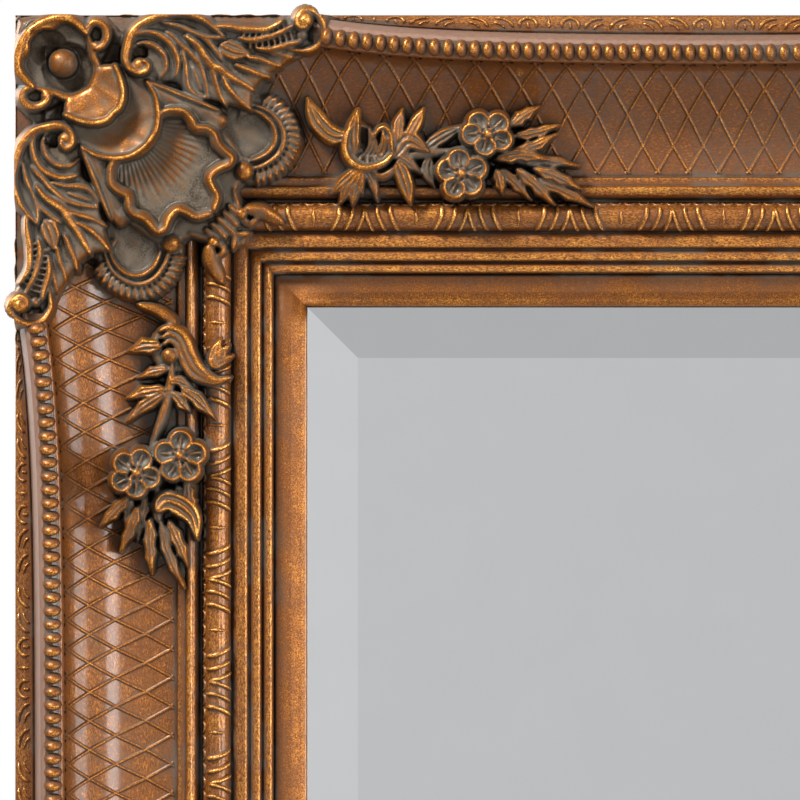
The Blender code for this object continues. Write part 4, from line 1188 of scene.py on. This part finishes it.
def stile_spray():
    """The spray on the stiles, written as (t, s) and turned."""
    r = Relief((112, 29), (233, 89), 0.42)

    def flip(points):
        return [(b, a) for a, b in points]

    r.ridge(flip([(49, 114.6), (55, 116.7), (58.9, 119.1), (62, 122), (60, 126)]), 3.4, (28, 29), 2.4, 0.5)
    r.slab(
        flip([(55, 126), (62, 122.5), (68, 127), (71, 135), (66, 141), (58, 140), (54, 134)]), 26, 2, 2,
        tone=0.26,
    )
    r.dish((129, 61), 3.6, 19, 2, 0.06)
    r.ball((134.6, 61.4), 3.2, 30, 0.4)
    for shift, tone in ((0.0, 0.6), (2.8, 0.46), (5.4, 0.42)):
        curl = [
            (57.3 + shift * 0.3, 125 + shift * 1.0), (61.3, 123.6 + shift),
            (65.6 - shift * 0.3, 125.6 + shift),
        ]
        curl += [
            (68 - shift * 0.5, 129.3 + shift), (69.8 - shift * 0.5, 134 + shift * 0.9),
            (72.6 - shift * 0.4, 138.8 + shift * 0.8),
        ]
        curl += [(76.5, 142.6 + shift * 0.5), (80.4, 144.3 + shift * 0.2), (85, 143.5)]
        r.ridge(flip(curl), 2.7, (30 - shift * 0.2, 28), 2.2, tone)
    leaves = [([(58, 131), (52, 131), (45, 133)], 7.0), ([(60.5, 140), (55, 141), (49, 143.4)], 5.0)]
    leaves += [([(59.5, 148), (52, 149), (44.5, 151.6)], 6.0), ([(59.5, 149.5), (52, 154), (44, 161)], 6.0)]
    leaves += [
        ([(62.5, 149), (66, 153), (69.4, 157)], 6.0), ([(66, 147.5), (72.5, 152.4), (79.4, 160)], 6.2),
    ]
    leaves += [([(61, 144), (66, 145), (71, 149)], 5.0)]
    for path, width in leaves:
        r.leaf(flip(path), width, (29, 26.5), 2.3, 0.5, notches=2)
    r.ridge(flip([(62, 138), (60.6, 148), (58, 158), (54, 171)]), 3.0, (28, 26.5), 2.2, 0.42)
    tips = [
        ((45, 190), (40, 196), (34, 202)), ((46, 191), (45, 197), (44, 203)),
        ((49, 194), (45.8, 203), (42, 212)),
    ]
    tips += [
        ((52, 190), (50, 199), (48.6, 208)), ((53.5, 199), (53.6, 210), (54.4, 220.5)),
        ((58, 200), (60.8, 213), (67, 226.5)),
    ]
    tips += [
        ((61, 200), (65, 209), (68.4, 218)), ((57, 187), (56, 195), (58, 203)),
        ((68, 184), (69, 191), (72, 198)),
    ]
    for i, tip in enumerate(tips):
        r.leaf(flip(tip), 5.4, (29.6 - 2.4 * (i % 2), 27.4 - 1.6 * (i % 2)), 2.2, 0.5, notches=3)
    for tip in ((81.6, 127.6), (84.6, 130.4), (86, 134.6)):
        r.leaf(
            flip([(77.6, 139.4), ((77.6 + tip[0]) / 2 - 0.5, (139.4 + tip[1]) / 2), tip]), 4.4, (29, 28),
            2.0, 0.56,
        )
    r.leaf(flip([(56, 196), (60, 192), (66, 194), (70.5, 199), (72, 207)]), 9.0, (31, 28), 2.6, 0.62)
    r.leaf(flip([(64, 186), (67, 191), (70, 198)]), 6.0, (28, 27), 2.4, 0.3, notches=3)
    petals = [(167.5, 65.8), (173, 58.6), (173.2, 72.4), (180.6, 61.8), (180.8, 69.6)]
    blossom(r, (173.8, 65.2), petals, 4.0, 33.5)
    petals = [(176.4, 42.4), (174.6, 50.4), (183, 54.4), (187.6, 48), (184.6, 41.4)]
    blossom(r, (181, 48.4), petals, 3.9, 33)
    return r


def build_sprays():
    for kind, relief in (("rail", rail_spray()), ("stile", stile_spray())):
        # The drawn sprays are lifted to stand clear of the cove.
        relief.height += np.where(relief.height > 20, 3.0, 0)
        relief.cast()
        place_castings(f"spray_{{}}_{kind}", f"flower_spray_{{}}_{kind}", relief, kind == "stile")


build_corners()
build_sprays()

# ---- Screws on the back --------------------------------------------------------------------------

leg_joint = next(joint for joint in frame["joints"] if joint["name"] == "leg_fold")
pin = FRAME_AXES.inverted() @ Vector(leg_joint["pos_m"])
open_angle = -math.radians(leg_joint["range_deg"][0])
LEG_AXES = FRAME_AXES @ Matrix.Translation(pin) @ Matrix.Rotation(open_angle, 4, "X")


def screw_head(radius, turn):
    """Points in millimetres of a slotted raised head, face up, and its faces."""
    slot = np.array([-0.45, -0.3, 0.3, 0.45])
    lines = np.sort(np.concatenate([np.linspace(-1, 1, 15) * radius, slot]))
    u, v = np.meshgrid(np.linspace(-1, 1, 17) * radius, lines, indexing="ij")
    # Squares are drawn into a disc, ring by ring.
    reach = np.maximum(np.abs(u), np.abs(v))
    out = np.hypot(u, v)
    scale = np.where(out > 0, reach / np.maximum(out, 1e-9), 1)
    blend = np.clip(reach / radius, 0, 1) ** 3
    u, v = u * (1 + (scale - 1) * blend), v * (1 + (scale - 1) * blend)
    out = np.hypot(u, v) / radius
    rise = 1.1 * np.sqrt(np.clip(1 - 0.8 * out**2, 0, 1)) - 0.45
    rise = np.where((np.abs(v) < 0.35) & (out < 0.93), rise - 0.55, rise)
    rise = np.where(out > 0.985, -0.15, rise)
    cos_t, sin_t = math.cos(turn), math.sin(turn)
    head = np.stack([u * cos_t - v * sin_t, u * sin_t + v * cos_t, rise], axis=-1)
    return head.reshape(-1, 3), grid_faces(*u.shape)


def build_screws(name, body, axes, places):
    """Screws at (x, y, z) in millimetres in some axes, each facing along the direction given with it."""
    points, faces, count = [], [], 0
    for i, (at, facing, radius) in enumerate(places):
        head, quads = screw_head(radius, 0.5 + 1.9 * i)
        turn = Vector(facing).to_track_quat("Z", "Y").to_matrix().to_4x4()
        matrix = np.array(FRAME_AXES.inverted() @ axes @ Matrix.Translation(Vector(at) / 1000) @ turn)
        points.append(head / 1000 @ matrix[:3, :3].T + matrix[:3, 3])
        faces.append(quads + count)
        count += len(head)
    make_piece(name, np.concatenate(points), np.concatenate(faces), STEEL, body)


def back_screws():
    """The screws of the clips, hinges and stay brackets, and those that join the leg's crossbars."""
    back, middle_of_rail = (0, 1, 0), 104.5
    across = WIDTH / 2 - middle_of_rail
    clip_levels = [HEIGHT - fraction * HEIGHT for fraction in (0.14, 0.5, 0.86)]
    places = [((0, 1.5, HEIGHT - middle_of_rail), back, 2.6), ((0, 1.5, middle_of_rail), back, 2.6)]
    places += [((way * across, 1.5, z), back, 2.6) for way in (-1, 1) for z in clip_levels]
    pin_level, stay_level = pin.z * 1000, 450
    leaf = [(190, 18), (202, 18), (196, 36)]
    places += [((way * x, 2.1, pin_level + rise), back, 2.7) for way in (-1, 1) for x, rise in leaf]
    bracket = [(227, -12.5), (227, 12.5)]
    places += [((way * x, 2.3, stay_level + rise), back, 2.7) for way in (-1, 1) for x, rise in bracket]
    build_screws("frame_screws", "frame", FRAME_AXES, places)
    # Levels below the pin, the uprights' outer face, and half the distance between two screws.
    crossbars, upright_face, apart = (-88, -920.6), 210, 9
    sides = []
    for way in (-1, 1):
        for z in (level + rise for level in crossbars for rise in (-apart, apart)):
            sides.append(((way * upright_face, 9, z), (way, 0, 0), 3.0))
    build_screws("leg_screws", "leg", LEG_AXES, sides)


back_screws()

# ---- CAD pieces that stay, with their finishes ---------------------------------------------------

FINISHES = {"leg_upright": timber("stained_upright", 2), "leg_crossbar": timber("stained_crossbar", 0)}
FINISHES |= {"backing_board": fibreboard(), "mirror_glass": SILVER}
FINISHES |= {"leg_tip": RUBBER, "bottom_foot": RUBBER}
FINISHES |= {start: STEEL for start in ("backing_clip", "hinge", "stay")}
for name, node in frame["nodes"].items():
    for start, material in FINISHES.items():
        if name.startswith(start):
            node.data.materials.clear()
            node.data.materials.append(material)

# ---- Stage, light and camera ---------------------------------------------------------------------


def build_stage():
    bpy.ops.mesh.primitive_circle_add(vertices=128, radius=6.4, fill_type="NGON", location=(0, 0, -0.0002))
    floor = bpy.context.object
    floor.name = "studio_floor"
    n = Paint("pale_floor")
    cloud = n.noise(3, 2)
    n.finish(n.ramp(cloud, [(0.3, (0.70, 0.69, 0.68)), (0.7, (0.73, 0.72, 0.71))]), 0.7, 0.0)
    n.shader.inputs["Emission Color"].default_value = (1, 0.99, 0.98, 1)
    n.shader.inputs["Emission Strength"].default_value = 0.16
    floor.data.materials.append(n.material)


def build_world():
    """White to the camera. The metal and the glass see a grey, brighter to the left and dark below."""
    world = bpy.data.worlds.new("studio")
    bpy.context.scene.world = world
    world.use_nodes = True
    n = Nodes(world.node_tree)
    n.tree.nodes.clear()
    split = n.add("ShaderNodeSeparateXYZ")
    n.feed(split.inputs[0], n.add("ShaderNodeTexCoord").outputs["Generated"])

    def clamped(value, low, high):
        made = n.add("ShaderNodeClamp")
        made.inputs["Min"].default_value = low
        made.inputs["Max"].default_value = high
        n.feed(made.inputs["Value"], value)
        return made.outputs[0]

    sideways = n.math("MULTIPLY_ADD", clamped(split.outputs["X"], -0.3, 0.3), -0.39, 0.0)
    levels = [
        (0.0, 0.06), (0.32, 0.08), (0.47, 0.55), (0.57, 0.574), (0.645, 0.47), (0.8, 0.40), (1.0, 0.70),
    ]
    upward = n.ramp(n.math("MULTIPLY_ADD", split.outputs["Z"], 0.5, 0.5), levels)
    studio = n.add("ShaderNodeBackground")
    n.feed(studio.inputs["Color"], clamped(n.math("ADD", sideways, upward), 0.05, 0.75))
    white = n.add("ShaderNodeBackground")
    white.inputs["Color"].default_value = (1, 1, 1, 1)
    mix = n.add("ShaderNodeMixShader")
    n.feed(mix.inputs[0], n.add("ShaderNodeLightPath").outputs["Is Camera Ray"])
    n.feed(mix.inputs[1], studio.outputs[0])
    n.feed(mix.inputs[2], white.outputs[0])
    n.feed(n.add("ShaderNodeOutputWorld").inputs["Surface"], mix.outputs[0])


def add_softbox(name, position, target, size, power, spread=120):
    """A rectangular light given in the frame's axes."""
    light = bpy.data.lights.new(name, "AREA")
    light.shape = "RECTANGLE"
    light.size, light.size_y = size
    light.energy = power
    light.spread = math.radians(spread)
    obj = bpy.data.objects.new(name, light)
    bpy.context.scene.collection.objects.link(obj)
    start, end = FRAME_AXES @ Vector(position), FRAME_AXES @ Vector(target)
    obj.location = start
    obj.rotation_euler = (end - start).to_track_quat("-Z", "Y").to_euler()
    return obj


build_stage()
build_world()
middle = (0, 0, HEIGHT / 2000)
stile_face = (-0.24, 0, 1.2)
add_softbox("key_top_left", (-1.15, -1.1, 3.0), (-0.15, 0, 1.4), (0.45, 0.45), 14.5, 70)
add_softbox("strip_near_axis", (0.86, -2.13, 1.3), stile_face, (0.30, 2.2), 3.4, 60)
add_softbox("strip_right", (1.44, -0.89, 1.3), stile_face, (0.80, 2.0), 7.0, 80)
fill = add_softbox("fill_front", (0.6, -2.6, 0.9), middle, (1.4, 1.0), 4)
fill.visible_glossy = False
add_softbox("back_left", (-1.6, 2.0, 2.0), middle, (1.2, 1.2), 15)
add_softbox("back_right", (1.8, 2.2, 1.2), middle, (1.2, 1.2), 11)

VIEW_CENTRE = 152.15  # the view's centre, in and down from the outer corner
VIEW_WIDTH = 316.2
VIEW_PLANE = 20.0  # the height above the flat back at which the view is that wide
LENS, SENSOR = 600.0, 36.0
camera_data = bpy.data.cameras.new("camera")
camera_data.lens = LENS
camera_data.sensor_width = SENSOR
camera_data.clip_end = 60
camera = bpy.data.objects.new("camera", camera_data)
bpy.context.scene.collection.objects.link(camera)
distance = VIEW_WIDTH * LENS / SENSOR
eye = (VIEW_CENTRE - WIDTH / 2, -(VIEW_PLANE + distance), HEIGHT - VIEW_CENTRE)
upright = Matrix.Rotation(math.pi / 2, 4, "X")
camera.matrix_world = FRAME_AXES @ Matrix.Translation(Vector(eye) / 1000) @ upright
bpy.context.scene.camera = camera
bpy.context.scene.view_settings.view_transform = "Standard"
